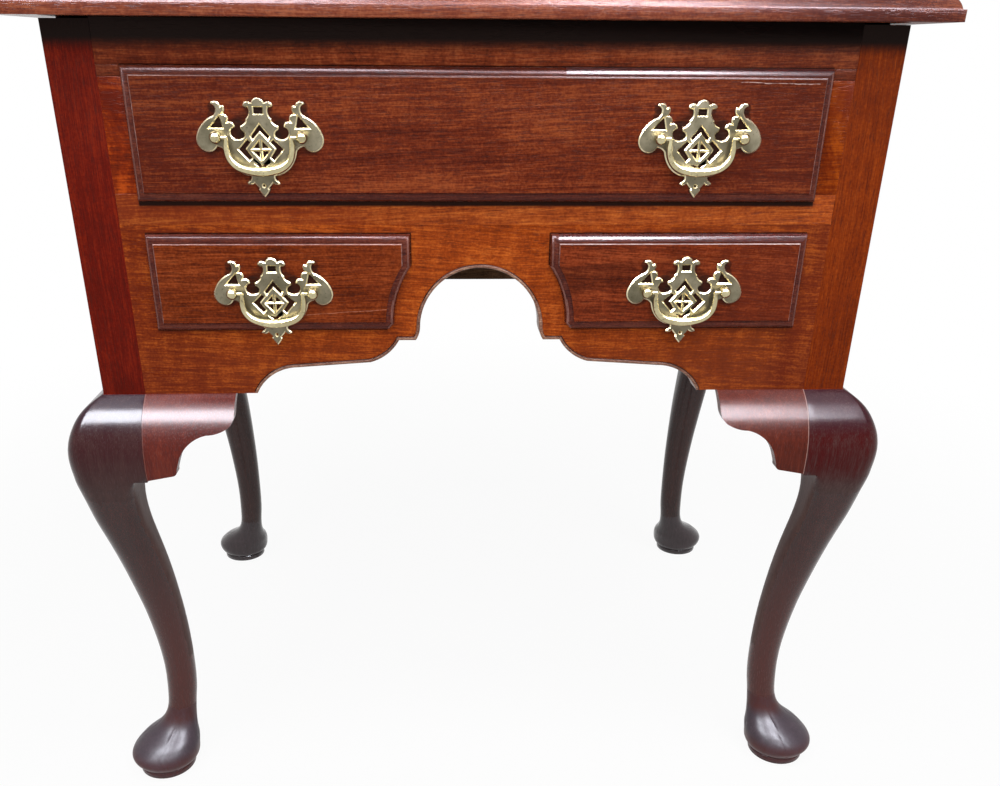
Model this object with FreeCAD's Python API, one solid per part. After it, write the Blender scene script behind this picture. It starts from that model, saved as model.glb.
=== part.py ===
import FreeCAD, Part
import math
import os

# A lowboy: a small dressing table on cabriole legs, with one long drawer over two small ones
# and an arched kneehole between them. Millimetres. +Z is up, the front faces -Y, +X is to the
# right of someone who faces the front. The origin is on the floor under the middle of the case.

V = FreeCAD.Vector

# ---------------------------------------------------------------- case
CASE_WIDTH = 635.0              # over the outer faces of the corner posts
CASE_DEPTH = 449.0
CASE_HEIGHT = 283.8             # underside of the apron to the underside of the top
LEG_HEIGHT = 398.0              # floor to the underside of the apron
POST = 35.0                     # side of a square corner post
POST_SHRINKAGE = 1.5            # open joint between a post and the top
JOINT_GAP = 0.1                 # play round a tenon, a tongue or a sliding bottom

# ---------------------------------------------------------------- top board
TOP_THICKNESS = 20.0
TOP_OVERHANG = 26.5             # at the front and both sides
TOP_BACK_OVERHANG = 8.0
TOP_SQUARE = 8.1                # height of the square lower part of its edge
TOP_LEDGE = 2.0                 # step between the square and the thumb moulding
TOP_THUMB = 15.0                # width of the thumb moulding

# ---------------------------------------------------------------- front frame
FRAME_THICKNESS = 20.0
TOP_RAIL_HEIGHT = 31.4
STRIP_HEIGHT = 7.9              # cross strip under the top rail
TOP_OPENING_HEIGHT = 82.6       # opening of the long drawer
MID_RAIL_HEIGHT = 22.9
MID_RAIL_DEPTH = 60.0
STILE_WIDTH = 26.0              # short uprights beside the long drawer
TENON_LENGTH = 20.0
TENON_THICKNESS = 8.0
TENON_SHOULDER = 4.0            # above and below a tenon
APRON_TENON_SHOULDER = 12.0

# ---------------------------------------------------------------- apron
ARCH_RADIUS = 49.5
ARCH_CENTRE = 55.6              # height of the arch's centre above the apron's underside
ARCH_FLARE_X = 3.6              # outward flare at each foot of the arch
ARCH_FOOT = 45.6                # height of the feet
STEP_WIDTH = 14.0               # level step outside each foot
COVE_WIDTH = 24.5               # hollow outside the step
COVE_DROP = 18.9
SLOPE_DROP = 4.0                # long shallow stretch
OGEE_WIDTH = 36.3               # round end down to the apron's underside
LEVEL_END = 18.2                # level stretch between that end and the knee bracket
COVE_SAG = 3.2                  # how far each curve leaves its chord
OGEE_RISE = 6.2
FLARE_SAG = 0.7
BEAD = 3.0                      # cock bead along the shaped edge
BEAD_PROUD = 1.8

# ---------------------------------------------------------------- sides, back and inside
PANEL_THICKNESS = 18.0
TONGUE = 8.0                    # length and thickness of the panels' tongues
TONGUE_INSET = 10.0             # from the ends of a panel to its tongue
BACK_THICKNESS = 12.0
BACK_SETBACK = 3.0              # back board behind the posts' back faces
RUNNER_LEDGE = 16.0             # runner and kicker inside the edge of an opening
LOWER_RUNNER_HEIGHT = 14.2
GUIDE_HEIGHT = 18.0
KICKER_HEIGHT = 19.0
PARTITION_THICKNESS = 10.0
INNER_RUNNER_WIDTH = 18.0
GLUE_BLOCK = 20.0
GLUE_BLOCK_LENGTH = 70.0
GLUE_BLOCK_SPREAD = 95.0        # from the middle of a side to each of its blocks

# ---------------------------------------------------------------- drawers
SMALL_OPENING_HEIGHT = 60.2
SMALL_OPENING_DROP = 14.8       # apron's top edge to the small openings
SMALL_OPENING_INNER = 83.0      # from the middle of the case
SMALL_OPENING_MARGIN = 27.1     # between a small opening and the post
LIP_OVERLAP = 8.0               # lip over the frame at the sides and the top
TOP_LIP_DROP = 4.9              # lip over the frame under the long drawer
LIP_GAP = 0.3                   # shut lip off the case's face
LIP_EDGE = 2.5                  # square edge of the lip in front of the case's face
LIP_ROUND = 5.5                 # quarter round on the lip
LIP_FLAT = 1.0                  # between the quarter round and the raised field
FIELD_STEP = 1.5                # raised field above the quarter round
LIP_CORNER = 27.0               # small lip's top inner corner beyond the opening
LIP_CURVE_RADIUS = 80.3         # hollow part of its inner edge
LIP_CURVE_X = -9.8              # centre of that curve, from the middle of the case
LIP_CURVE_RISE = 5.0            # centre of that curve above the lip's lower edge
LIP_CHAMFER = 4.5               # small lip's lower inner corner
FIT = 1.0                       # drawer to its opening at the sides and the top
SLIDE_GAP = 0.2                 # drawer above its runners
FRONT_BODY = 12.0               # part of a drawer's front behind the case's face
DRAWER_BACK_GAP = 19.0          # between a drawer and the back board
SIDE_THICKNESS = 10.0
BACK_BOARD_THICKNESS = 10.0
SIDE_DROP = 1.0                 # sides lower than the front
BACK_DROP = 4.0                 # back lower than the front
BOTTOM_THICKNESS = 6.0
BOTTOM_RISE = 9.0               # bottom board above the sides' lower edges
GROOVE = 4.0
TAIL_LENGTH = 11.0
TAIL_SLOPE = 1.0 / 6.0
TAIL_SHARE = 0.36               # half a tail's wide end in its pitch
TAIL_PITCH = 28.0               # about this far apart

# ---------------------------------------------------------------- knees and brackets
BRACKET_WIDTH = 76.0
BRACKET_HEIGHT = 67.0
BRACKET_THICKNESS = 10.0        # front to back, the same all the way down
BRACKET_NOSE = 12.5             # upright end of a bracket
# From the foot of the upright end towards the leg: each stretch is an arc through the first
# point to the second, given as inward from that end and down from the apron.
BRACKET_ARCS = [
    ((1.8, 19.2), (7.5, 24.0)),
    ((15.5, 26.9), (23.0, 27.8)),
    ((38.5, 35.4), (46.4, 46.5)),
    ((48.2, 51.8), (50.0, 57.6)),
    ((51.2, 61.4), (54.0, 62.8)),
]

# ---------------------------------------------------------------- legs
# One row per level of the leg's pattern, from the top down. Height is a share of the leg's
# height; the outer face is a distance outward from the case's corner planes, and the inner face
# a distance inward. The outer corner has a radius; the two side corners and the inner corner
# are rounded by shares of half the width there.
# Behind the knee the inner faces are those of the post: height, outer, radius, side.
KNEE = [
    (1.000, 1.0, 1.1, 0.02),
    (0.985, 10.4, 3.6, 0.02),
    (0.967, 18.2, 7.4, 0.02),
    (0.943, 24.6, 11.3, 0.02),
    (0.910, 30.0, 15.0, 0.02),
    (0.872, 32.2, 17.5, 0.02),
    (0.828, 31.3, 19.0, 0.02),
]
# Below the knee: height, inner, outer, radius, side, inner corner.
SHIN = [
    (0.828, 24.0, 31.3, 19.0, 0.04, 0.10),
    (0.807, 21.4, 30.1, 18.8, 0.25, 0.45),
    (0.784, 20.2, 28.2, 18.4, 0.45, 0.62),
    (0.717, 20.6, 22.9, 17.8, 0.66, 0.74),
    (0.648, 24.6, 16.5, 17.9, 0.80, 0.84),
    (0.576, 29.0, 10.4, 18.1, 0.90, 0.92),
    (0.501, 32.2, 4.6, 17.6, 0.96, 0.96),
    (0.427, 34.4, -0.5, 16.6, 0.98, 0.98),
    (0.352, 35.6, -4.4, 15.3, 0.98, 0.98),
    (0.278, 35.8, -6.7, 14.3, 0.98, 0.98),
    (0.203, 34.7, -6.4, 13.9, 0.98, 0.98),
    (0.144, 32.1, -3.8, 13.9, 0.98, 0.98),
]
SHARPEST = 0.4                  # smallest corner radius of a leg
PAD_INSET = 1.3                 # centre of a pad inside the case's corner planes
PAD_RADIUS = 33.0
# Height above the floor, distance of the centre inside the corner planes, radius.
PAD = [
    (44.0, 14.0, 17.8),
    (36.0, 9.0, 23.8),
    (28.0, 4.4, 30.0),
    (20.0, PAD_INSET, PAD_RADIUS),
    (14.0, PAD_INSET, 32.4),
    (8.5, PAD_INSET, 28.6),
]
SHOE_RADIUS = 27.0              # disc under the pad
SHOE_HEIGHT = 7.0
SHOE_GROOVE = 1.5               # depth of the groove over the disc

# ---------------------------------------------------------------- brass handles
HANDLE_INSET = 3.3              # middle of a handle inside the middle of a small opening
TOP_HANDLE_DROP = 0.4           # posts below the middle of the lip
SMALL_HANDLE_DROP = 5.6
POST_SPACING = 63.5
PLATE_THICKNESS = 1.8
BALL_RADIUS = 4.5
BALL_STANDOFF = 8.0             # ball's centre in front of the drawer's field
NECK_RADIUS = 2.6
COLLAR_RADIUS = 3.7
COLLAR_THICKNESS = 1.6
SHANK_RADIUS = 2.0
SHANK_PLAY = 0.1
SHANK_END = 6.0                 # shank beyond the back of the drawer's front
NUT_RADIUS = 5.0
NUT_THICKNESS = 3.0
NUT_PLAY = 0.05
PIN_RADIUS = 1.5
PIN_PLAY = 0.06
PIN_END = 1.0                   # pin beyond the ball's centre
PIN_END_PLAY = 0.4
BAIL_HALF = 24.3                # middle of a bail's upright end from the handle's middle
BAIL_DROP = 23.9
BAIL_THIN = 1.6
BAIL_THICK = 3.4
# Middle line of a bail's right half, from its upright end to its lowest point.
BAIL_PATH = [(BAIL_HALF, 0.0), (BAIL_HALF, -8.0), (22.8, -14.2), (19.1, -18.9),
             (13.2, -22.0), (6.7, -23.5), (0.0, -BAIL_DROP)]
# Right half of a back plate from its top to its tip: each stretch is an arc through the first
# point to the second, about the middle of the line between the posts.
PLATE_TOP = (0.0, 26.9)
PLATE_ARCS = [
    ((2.9, 25.9), (4.7, 23.6)),         # dome
    ((5.2, 23.6), (5.8, 23.8)),
    ((9.6, 23.7), (10.9, 21.6)),        # shoulder
    ((9.6, 20.6), (7.4, 20.3)),
    ((7.0, 16.6), (9.4, 12.4)),         # neck
    ((9.5, 11.0), (10.3, 9.9)),
    ((12.1, 8.4), (13.8, 7.6)),         # scroll
    ((14.2, 5.9), (13.0, 4.4)),
    ((11.2, 1.6), (14.3, -1.4)),        # round notch
    ((18.4, -1.5), (21.4, 1.9)),
    ((21.0, 4.8), (18.1, 6.6)),
    ((19.2, 9.6), (23.2, 10.2)),        # scallops
    ((22.9, 14.0), (26.5, 15.7)),
    ((24.7, 18.4), (24.9, 21.0)),
    ((26.2, 21.7), (27.2, 20.6)),
    ((29.0, 23.8), (32.4, 24.3)),       # volute
    ((33.8, 23.8), (34.3, 22.6)),
    ((32.6, 21.9), (31.3, 20.6)),
    ((31.4, 17.3), (33.4, 14.5)),       # wing
    ((41.4, 9.4), (46.9, 0.3)),
    ((45.6, -7.1), (38.0, -10.7)),
    ((34.6, -9.3), (32.4, -6.8)),
    ((29.0, -7.9), (26.6, -10.3)),
    ((24.6, -16.6), (20.9, -22.1)),     # bowl
    ((15.5, -26.0), (9.1, -27.8)),
    ((9.0, -29.4), (9.9, -31.0)),
    ((11.3, -31.9), (12.3, -33.3)),     # spur
    ((9.5, -34.1), (6.8, -32.9)),
    ((5.4, -34.6), (3.5, -36.6)),
    ((3.8, -37.1), (4.3, -37.5)),
    ((2.4, -40.6), (0.0, -43.3)),       # tip
]
# Right half of each opening that crosses the plate's middle, then the ones that lie to its right.
SLOT_OPENING = [(0.0, 20.4), (3.2, 20.4), (3.2, 15.9), (0.0, 15.9)]
CHEVRON_OPENING = [(0.0, 8.4), (6.8, 0.3), (5.7, -1.8), (0.0, 4.0)]
FOOT_OPENING = [(0.0, -20.9), (5.5, -16.3), (5.5, -18.2), (0.0, -23.6)]
WING_OPENING = [(29.0, 14.4), (36.5, 6.2), (27.0, 6.1)]
SIDE_OPENING = [(9.7, -2.2), (16.5, -8.8), (9.2, -16.7), (7.1, -14.7), (11.5, -8.5), (7.5, -3.9)]
UPPER_DIAMOND = [(1.3, -3.3), (5.9, -8.1), (1.3, -8.1)]
LOWER_DIAMOND = [(1.3, -10.3), (5.9, -10.3), (1.3, -15.3)]
EYE_HEIGHT = -34.8              # small hole in the tip
EYE_RADIUS = 0.8

# ---------------------------------------------------------------- places that follow
HALF_WIDTH = CASE_WIDTH / 2
FRONT = -CASE_DEPTH / 2
BACK = CASE_DEPTH / 2
CASE_TOP = LEG_HEIGHT + CASE_HEIGHT
POST_INNER = HALF_WIDTH - POST
FRAME_BACK = FRONT + FRAME_THICKNESS
STRIP_TOP = CASE_TOP - TOP_RAIL_HEIGHT
TOP_OPENING_TOP = STRIP_TOP - STRIP_HEIGHT
TOP_OPENING_BASE = TOP_OPENING_TOP - TOP_OPENING_HEIGHT
TOP_OPENING_HALF = POST_INNER - STILE_WIDTH
APRON_TOP = TOP_OPENING_BASE - MID_RAIL_HEIGHT
SMALL_OPENING_TOP = APRON_TOP - SMALL_OPENING_DROP
SMALL_OPENING_BASE = SMALL_OPENING_TOP - SMALL_OPENING_HEIGHT
BACK_BOARD_BACK = BACK - BACK_SETBACK
BACK_BOARD_FRONT = BACK_BOARD_BACK - BACK_THICKNESS
DRAWER_BACK = BACK_BOARD_FRONT - DRAWER_BACK_GAP
SMALL_OPENING_OUTER = POST_INNER - SMALL_OPENING_MARGIN
SHAPED_END = POST_INNER - BRACKET_WIDTH - LEVEL_END
HANDLE_X = (SMALL_OPENING_INNER + SMALL_OPENING_OUTER) / 2 - HANDLE_INSET
LIP_FACE = LIP_EDGE + LIP_ROUND
FIELD = LIP_FACE + FIELD_STEP
PLATE_FACE = FRONT - FIELD - PLATE_THICKNESS
PIN_Y = FRONT - FIELD - BALL_STANDOFF


# ---------------------------------------------------------------- helpers
def box(x0, x1, y0, y1, z0, z1):
    return Part.makeBox(x1 - x0, y1 - y0, z1 - z0, V(x0, y0, z0))


def grown(shape_box, by):
    """The box of a box-shaped solid, larger by a clearance all round."""
    b = shape_box.BoundBox
    return box(b.XMin - by, b.XMax + by, b.YMin - by, b.YMax + by, b.ZMin - by, b.ZMax + by)


def mirrored(shape):
    return shape.mirror(V(0, 0, 0), V(1, 0, 0))


def front_to_back(shape):
    return shape.mirror(V(0, 0, 0), V(0, 1, 0))


def joined(shapes):
    shape = shapes[0]
    if len(shapes) > 1:
        shape = shape.fuse(shapes[1:])
    return shape.removeSplitter()


def xz(point, y=0.0):
    return V(point[0], y, point[1])


def line(a, b):
    return Part.LineSegment(a, b).toShape()


def arc(a, via, b):
    return Part.Arc(a, via, b).toShape()


def arc_run(start, arcs, place):
    """Arcs one after the other, each through its first point to its second."""
    edges = []
    for via, end in arcs:
        edges.append(arc(start, place(via), place(end)))
        start = place(end)
    return edges


def closed(points):
    return Part.makePolygon(points + [points[0]])


def prism(wire, direction):
    return Part.Face(wire).extrude(direction)


def edges_at(shape, y):
    """The edges of a shape that lie in one plane square to Y."""
    return [edge for edge in shape.Edges
            if max(abs(edge.BoundBox.YMin - y), abs(edge.BoundBox.YMax - y)) < JOINT_GAP]


def sagged(a, b, sag):
    """Point off the middle of a line in the XZ plane, to its left by the sag."""
    middle = (a + b) / 2
    along = (b - a).normalize()
    return middle + V(-along.z, 0, along.x) * sag


# ---------------------------------------------------------------- top board
def thumb_profile(low, high, moulded_low, flat):
    """Edge outline of the top across one direction; flat(u, z) places a point."""
    square_top = CASE_TOP + TOP_SQUARE
    crown = CASE_TOP + TOP_THICKNESS
    rise = crown - square_top
    radius = (TOP_THUMB ** 2 + rise ** 2) / (2 * rise)
    half_turn = math.acos(1 - rise / radius) / 2

    def edge(end, inward):
        inner = end + inward * (TOP_LEDGE + TOP_THUMB)
        return (flat(inner, crown),
                flat(inner - inward * radius * math.sin(half_turn),
                     crown - radius * (1 - math.cos(half_turn))),
                flat(end + inward * TOP_LEDGE, square_top),
                flat(end, square_top), flat(end, CASE_TOP))

    start = edge(low, 1.0)
    edges = [arc(*start[:3]), line(start[2], start[3]), line(start[3], start[4])]
    if moulded_low:
        finish = edge(high, -1.0)
        edges += [line(start[4], finish[4]), line(finish[4], finish[3]),
                  line(finish[3], finish[2]), arc(finish[2], finish[1], finish[0]),
                  line(finish[0], start[0])]
    else:
        edges += [line(start[4], flat(high, CASE_TOP)),
                  line(flat(high, CASE_TOP), flat(high, crown)),
                  line(flat(high, crown), start[0])]
    return Part.Wire(edges)


def top_board():
    side = HALF_WIDTH + TOP_OVERHANG
    front = FRONT - TOP_OVERHANG
    back = BACK + TOP_BACK_OVERHANG
    across = prism(thumb_profile(-side, side, True, lambda u, z: V(u, front, z)),
                   V(0, back - front, 0))
    along = prism(thumb_profile(front, back, False, lambda u, z: V(-side, u, z)),
                  V(2 * side, 0, 0))
    return across.common(along)


# ---------------------------------------------------------------- legs
def leg_section(z, inner, outer, radius, side, inside):
    """Rounded square across a leg at the left front corner, outward towards -X and -Y."""
    half = (inner + outer) / 2
    low_x, high_x = -HALF_WIDTH - outer, -HALF_WIDTH + inner
    low_y, high_y = FRONT - outer, FRONT + inner
    side_radius = max(SHARPEST, side * half)
    corners = [(low_x, low_y, 1, 1, radius), (high_x, low_y, -1, 1, side_radius),
               (high_x, high_y, -1, -1, max(SHARPEST, inside * half)),
               (low_x, high_y, 1, -1, side_radius)]
    bend = 1 - math.sqrt(0.5)
    ends = []
    for x, y, to_x, to_y, r in corners:
        ends.append((V(x + to_x * r, y, z), V(x + to_x * r * bend, y + to_y * r * bend, z),
                     V(x, y + to_y * r, z)))
    (a0, a1, a2), (b2, b1, b0), (c0, c1, c2), (d2, d1, d0) = ends
    return Part.Wire([line(a0, b2), arc(b2, b1, b0), line(b0, c2), arc(c2, c1, c0),
                      line(c0, d2), arc(d2, d1, d0), line(d0, a2), arc(a2, a1, a0)])


def leg():
    """A leg with its post, at the left front corner."""
    upper = [leg_section(share * LEG_HEIGHT, POST, outer, radius, side, side)
             for share, outer, radius, side in KNEE]
    lower = [leg_section(level[0] * LEG_HEIGHT, *level[1:]) for level in SHIN]
    round_share = SHIN[-1][-1]
    lower += [leg_section(z, radius + centre, radius - centre, round_share * radius,
                          round_share, round_share) for z, centre, radius in PAD]
    pad_base = PAD[-1][0]
    pad_centre = V(-HALF_WIDTH + PAD_INSET, FRONT + PAD_INSET, 0)
    shoe = Part.makeCylinder(SHOE_RADIUS, SHOE_HEIGHT, pad_centre)
    groove = Part.makeCylinder(SHOE_RADIUS - SHOE_GROOVE, pad_base, pad_centre)
    post = box(-HALF_WIDTH, -POST_INNER, FRONT, FRONT + POST,
               LEG_HEIGHT, CASE_TOP - POST_SHRINKAGE)
    return joined([post, Part.makeLoft(upper, True), Part.makeLoft(lower, True), shoe, groove])


def knee_profile():
    """Upright section through a knee bracket in the YZ plane, at x = 0."""
    levels = [(share, outer) for share, outer, _, _ in KNEE] + [(SHIN[1][0], SHIN[1][2])]
    curve = Part.BSplineCurve()
    curve.interpolate([V(0, FRONT - outer, share * LEG_HEIGHT) for share, outer in levels])
    depth = V(0, BRACKET_THICKNESS, 0)
    top, bottom = curve.StartPoint, curve.EndPoint
    front = curve.toShape()
    back = front.translated(depth)
    return Part.Wire([front, line(bottom, bottom + depth), back, line(top + depth, top)])


def bracket_outline():
    """Front view of the bracket right of the left leg, at x = 0 where it meets the post."""
    root, tip = xz((0, LEG_HEIGHT)), xz((BRACKET_WIDTH, LEG_HEIGHT))
    nose = xz((BRACKET_WIDTH, LEG_HEIGHT - BRACKET_NOSE))
    run = arc_run(nose, BRACKET_ARCS, lambda p: xz((BRACKET_WIDTH - p[0], LEG_HEIGHT - p[1])))
    heel = xz((0, LEG_HEIGHT - BRACKET_HEIGHT))
    toe = xz((BRACKET_WIDTH - BRACKET_ARCS[-1][1][0], LEG_HEIGHT - BRACKET_ARCS[-1][1][1]))
    return Part.Wire([line(root, tip), line(tip, nose)] + run
                     + [line(toe, heel), line(heel, root)])


def bracket():
    """Knee bracket at the left front corner, under the apron."""
    reach = max(level[1] for level in KNEE)
    outline = bracket_outline()
    outline.translate(V(-POST_INNER, FRONT - reach, 0))
    blank = prism(outline, V(0, reach + BRACKET_THICKNESS, 0))
    section = knee_profile()
    section.translate(V(-POST_INNER, 0, 0))
    return blank.common(prism(section, V(BRACKET_WIDTH, 0, 0)))


def side_bracket():
    """The front bracket's twin on the left side of the same leg."""
    corner = V(-HALF_WIDTH, FRONT, 0)
    return bracket().mirror(corner, V(1, -1, 0))


# ---------------------------------------------------------------- case
def side_panel():
    """Left side panel and the two tongues that hold it in the posts."""
    outer = -HALF_WIDTH
    panel = box(outer, outer + PANEL_THICKNESS, FRONT + POST, BACK - POST, LEG_HEIGHT, CASE_TOP)
    middle = outer + PANEL_THICKNESS / 2
    tongue = box(middle - TONGUE / 2, middle + TONGUE / 2, FRONT + POST - TONGUE, FRONT + POST,
                 LEG_HEIGHT + TONGUE_INSET, CASE_TOP - TONGUE_INSET)
    return panel, [tongue, front_to_back(tongue)]


def back_board():
    board = box(-POST_INNER, POST_INNER, BACK_BOARD_FRONT, BACK_BOARD_BACK,
                LEG_HEIGHT, CASE_TOP)
    middle = (BACK_BOARD_FRONT + BACK_BOARD_BACK) / 2
    tongue = box(-POST_INNER - TONGUE, -POST_INNER, middle - TONGUE / 2, middle + TONGUE / 2,
                 LEG_HEIGHT + TONGUE_INSET, CASE_TOP - TONGUE_INSET)
    return board, [tongue, mirrored(tongue)]


def rail(base, height, depth, shoulder):
    """A rail between the front posts and its two tenons."""
    board = box(-POST_INNER, POST_INNER, FRONT, FRONT + depth, base, base + height)
    middle = (FRONT + FRAME_BACK) / 2
    tenon = box(-POST_INNER - TENON_LENGTH, -POST_INNER,
                middle - TENON_THICKNESS / 2, middle + TENON_THICKNESS / 2,
                base + shoulder, base + height - shoulder)
    return board, [tenon, mirrored(tenon)]


def apron_edge():
    """Right half of the apron's shaped lower edge, from the top of the arch outward."""
    base = LEG_HEIGHT
    centre = base + ARCH_CENTRE
    foot_x = ARCH_RADIUS + ARCH_FLARE_X
    foot_z = base + ARCH_FOOT
    diagonal = ARCH_RADIUS * math.sqrt(0.5)
    crown = xz((0, centre + ARCH_RADIUS))
    spring = xz((ARCH_RADIUS, centre))
    foot = xz((foot_x, foot_z))
    step = xz((foot_x + STEP_WIDTH, foot_z))
    cove = xz((step.x + COVE_WIDTH, foot_z - COVE_DROP))
    slope = xz((SHAPED_END - OGEE_WIDTH, cove.z - SLOPE_DROP))
    end = xz((SHAPED_END, base))
    return [arc(crown, xz((diagonal, centre + diagonal)), spring),
            arc(spring, sagged(spring, foot, -FLARE_SAG), foot),
            line(foot, step),
            arc(step, sagged(step, cove, -COVE_SAG), cove),
            line(cove, slope),
            arc(slope, sagged(slope, end, OGEE_RISE), end)]


def edge_wire(edges):
    """The whole lower edge, from the left end to the right end."""
    return Part.Wire(Part.__sortEdges__([mirrored(edge) for edge in edges] + edges))


def apron_parts():
    """The apron board, its tenons and the bead along its shaped edge."""
    shaped = edge_wire(apron_edge())
    ends = sorted((vertex.Point for vertex in shaped.Vertexes), key=lambda point: point.x)
    left, right = ends[0], ends[-1]
    corners = [right, xz((POST_INNER, LEG_HEIGHT)), xz((POST_INNER, APRON_TOP)),
               xz((-POST_INNER, APRON_TOP)), xz((-POST_INNER, LEG_HEIGHT)), left]
    frame_edges = [line(a, b) for a, b in zip(corners, corners[1:])]
    outline = Part.Wire(Part.__sortEdges__(shaped.Edges + frame_edges))
    outline.translate(V(0, FRONT, 0))
    board = prism(outline, V(0, FRAME_THICKNESS, 0))
    strip = shaped.makeOffset2D(BEAD, 2, True, True)
    if strip.BoundBox.ZMax < LEG_HEIGHT + ARCH_CENTRE + ARCH_RADIUS + BEAD / 2:
        strip = shaped.makeOffset2D(-BEAD, 2, True, True)
    strip.translate(V(0, FRONT, 0))
    board = board.cut(strip.extrude(V(0, FRAME_THICKNESS, 0)))
    strip.translate(V(0, -BEAD_PROUD, 0))
    bead = strip.extrude(V(0, FRAME_THICKNESS + BEAD_PROUD, 0))
    bead = bead.common(box(-POST_INNER, POST_INNER, FRONT - BEAD_PROUD, FRAME_BACK,
                           LEG_HEIGHT, APRON_TOP))
    for side in (-1, 1):
        x = sorted((side * SMALL_OPENING_INNER, side * SMALL_OPENING_OUTER))
        board = board.cut(box(x[0], x[1], FRONT, FRAME_BACK,
                              SMALL_OPENING_BASE, SMALL_OPENING_TOP))
    _, tenons = rail(LEG_HEIGHT, APRON_TOP - LEG_HEIGHT, FRAME_THICKNESS, APRON_TENON_SHOULDER)
    return board, tenons, bead


def inside_pieces():
    """Runners, guides, kickers, partitions and glue blocks of the left half, by name."""
    outer = -POST_INNER
    upper_inner = -TOP_OPENING_HALF + RUNNER_LEDGE
    lower_inner = -SMALL_OPENING_OUTER + RUNNER_LEDGE
    depth_from_frame = (FRAME_BACK, BACK_BOARD_FRONT)
    mid_rail_back = FRONT + MID_RAIL_DEPTH
    runner_base = SMALL_OPENING_BASE - LOWER_RUNNER_HEIGHT
    partition = (-SMALL_OPENING_INNER, -SMALL_OPENING_INNER + PARTITION_THICKNESS)
    panel_inner = -HALF_WIDTH + PANEL_THICKNESS
    pieces = {
        "upper_runner": [box(outer, upper_inner, mid_rail_back, BACK_BOARD_FRONT,
                             SMALL_OPENING_TOP, TOP_OPENING_BASE)],
        "guides": [box(outer, -TOP_OPENING_HALF, *depth_from_frame,
                       TOP_OPENING_BASE, TOP_OPENING_BASE + GUIDE_HEIGHT),
                   box(outer, -SMALL_OPENING_OUTER, *depth_from_frame,
                       SMALL_OPENING_BASE, SMALL_OPENING_BASE + GUIDE_HEIGHT)],
        "kicker": [box(outer, upper_inner, *depth_from_frame,
                       TOP_OPENING_TOP, TOP_OPENING_TOP + KICKER_HEIGHT)],
        "lower_runners": [
            box(outer, lower_inner, *depth_from_frame, runner_base, SMALL_OPENING_BASE),
            box(partition[0] - INNER_RUNNER_WIDTH, partition[0], *depth_from_frame,
                runner_base, SMALL_OPENING_BASE)],
        "partition": [box(*partition, *depth_from_frame, runner_base, APRON_TOP)],
        "glue_blocks": [
            box(panel_inner, panel_inner + GLUE_BLOCK,
                side * GLUE_BLOCK_SPREAD - GLUE_BLOCK_LENGTH / 2,
                side * GLUE_BLOCK_SPREAD + GLUE_BLOCK_LENGTH / 2,
                CASE_TOP - GLUE_BLOCK, CASE_TOP) for side in (-1, 1)],
    }
    return pieces


# ---------------------------------------------------------------- drawers
def top_lip_outline():
    half = TOP_OPENING_HALF + LIP_OVERLAP
    low = TOP_OPENING_BASE - TOP_LIP_DROP
    high = TOP_OPENING_TOP + LIP_OVERLAP
    return closed([xz(p) for p in ((-half, low), (half, low), (half, high), (-half, high))])


def small_lip_outline():
    """Lip of the right small drawer; its inner edge follows the kneehole arch."""
    low = SMALL_OPENING_BASE - LIP_OVERLAP
    high = SMALL_OPENING_TOP + LIP_OVERLAP
    outer = SMALL_OPENING_OUTER + LIP_OVERLAP
    inner = SMALL_OPENING_INNER - LIP_CORNER
    centre = (LIP_CURVE_X, low + LIP_CURVE_RISE)

    def on_curve(angle):
        return xz((centre[0] + LIP_CURVE_RADIUS * math.cos(angle),
                   centre[1] + LIP_CURVE_RADIUS * math.sin(angle)))

    top_angle = math.acos((inner - centre[0]) / LIP_CURVE_RADIUS)
    shoulder = on_curve(top_angle)
    waist = on_curve(0.0)
    chamfer = xz((waist.x + LIP_CHAMFER, low))
    return Part.Wire([arc(shoulder, on_curve(top_angle / 2), waist), line(waist, chamfer),
                      line(chamfer, xz((outer, low))), line(xz((outer, low)), xz((outer, high))),
                      line(xz((outer, high)), xz((inner, high))),
                      line(xz((inner, high)), shoulder)])


def lipped_front(outline, body):
    """A drawer's front: the moulded lip with its raised field, and the part behind it."""
    lip = Part.Face(outline)
    lip.translate(V(0, FRONT - LIP_GAP, 0))
    slab = lip.extrude(V(0, LIP_GAP - LIP_FACE, 0))
    front_y = FRONT - LIP_FACE
    slab = slab.makeFillet(LIP_ROUND, edges_at(slab, front_y))
    field = Part.Face(outline).makeOffset2D(-(LIP_ROUND + LIP_FLAT), 2)
    field.translate(V(0, front_y, 0))
    return joined([slab, field.extrude(V(0, -FIELD_STEP, 0)), body])


def tails(x0, x1, y_neck, z0, z1):
    """The dovetails on the front end of a drawer side."""
    count = max(2, round((z1 - z0) / TAIL_PITCH))
    pitch = (z1 - z0) / count
    wide = TAIL_SHARE * pitch
    narrow = wide - TAIL_LENGTH * TAIL_SLOPE
    y_head = y_neck - TAIL_LENGTH
    shapes = []
    for i in range(count):
        z = z0 + (i + 0.5) * pitch
        outline = closed([V(x0, y_neck, z - narrow), V(x0, y_head, z - wide),
                          V(x0, y_head, z + wide), V(x0, y_neck, z + narrow)])
        shapes.append(prism(outline, V(x1 - x0, 0, 0)))
    return shapes


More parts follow.
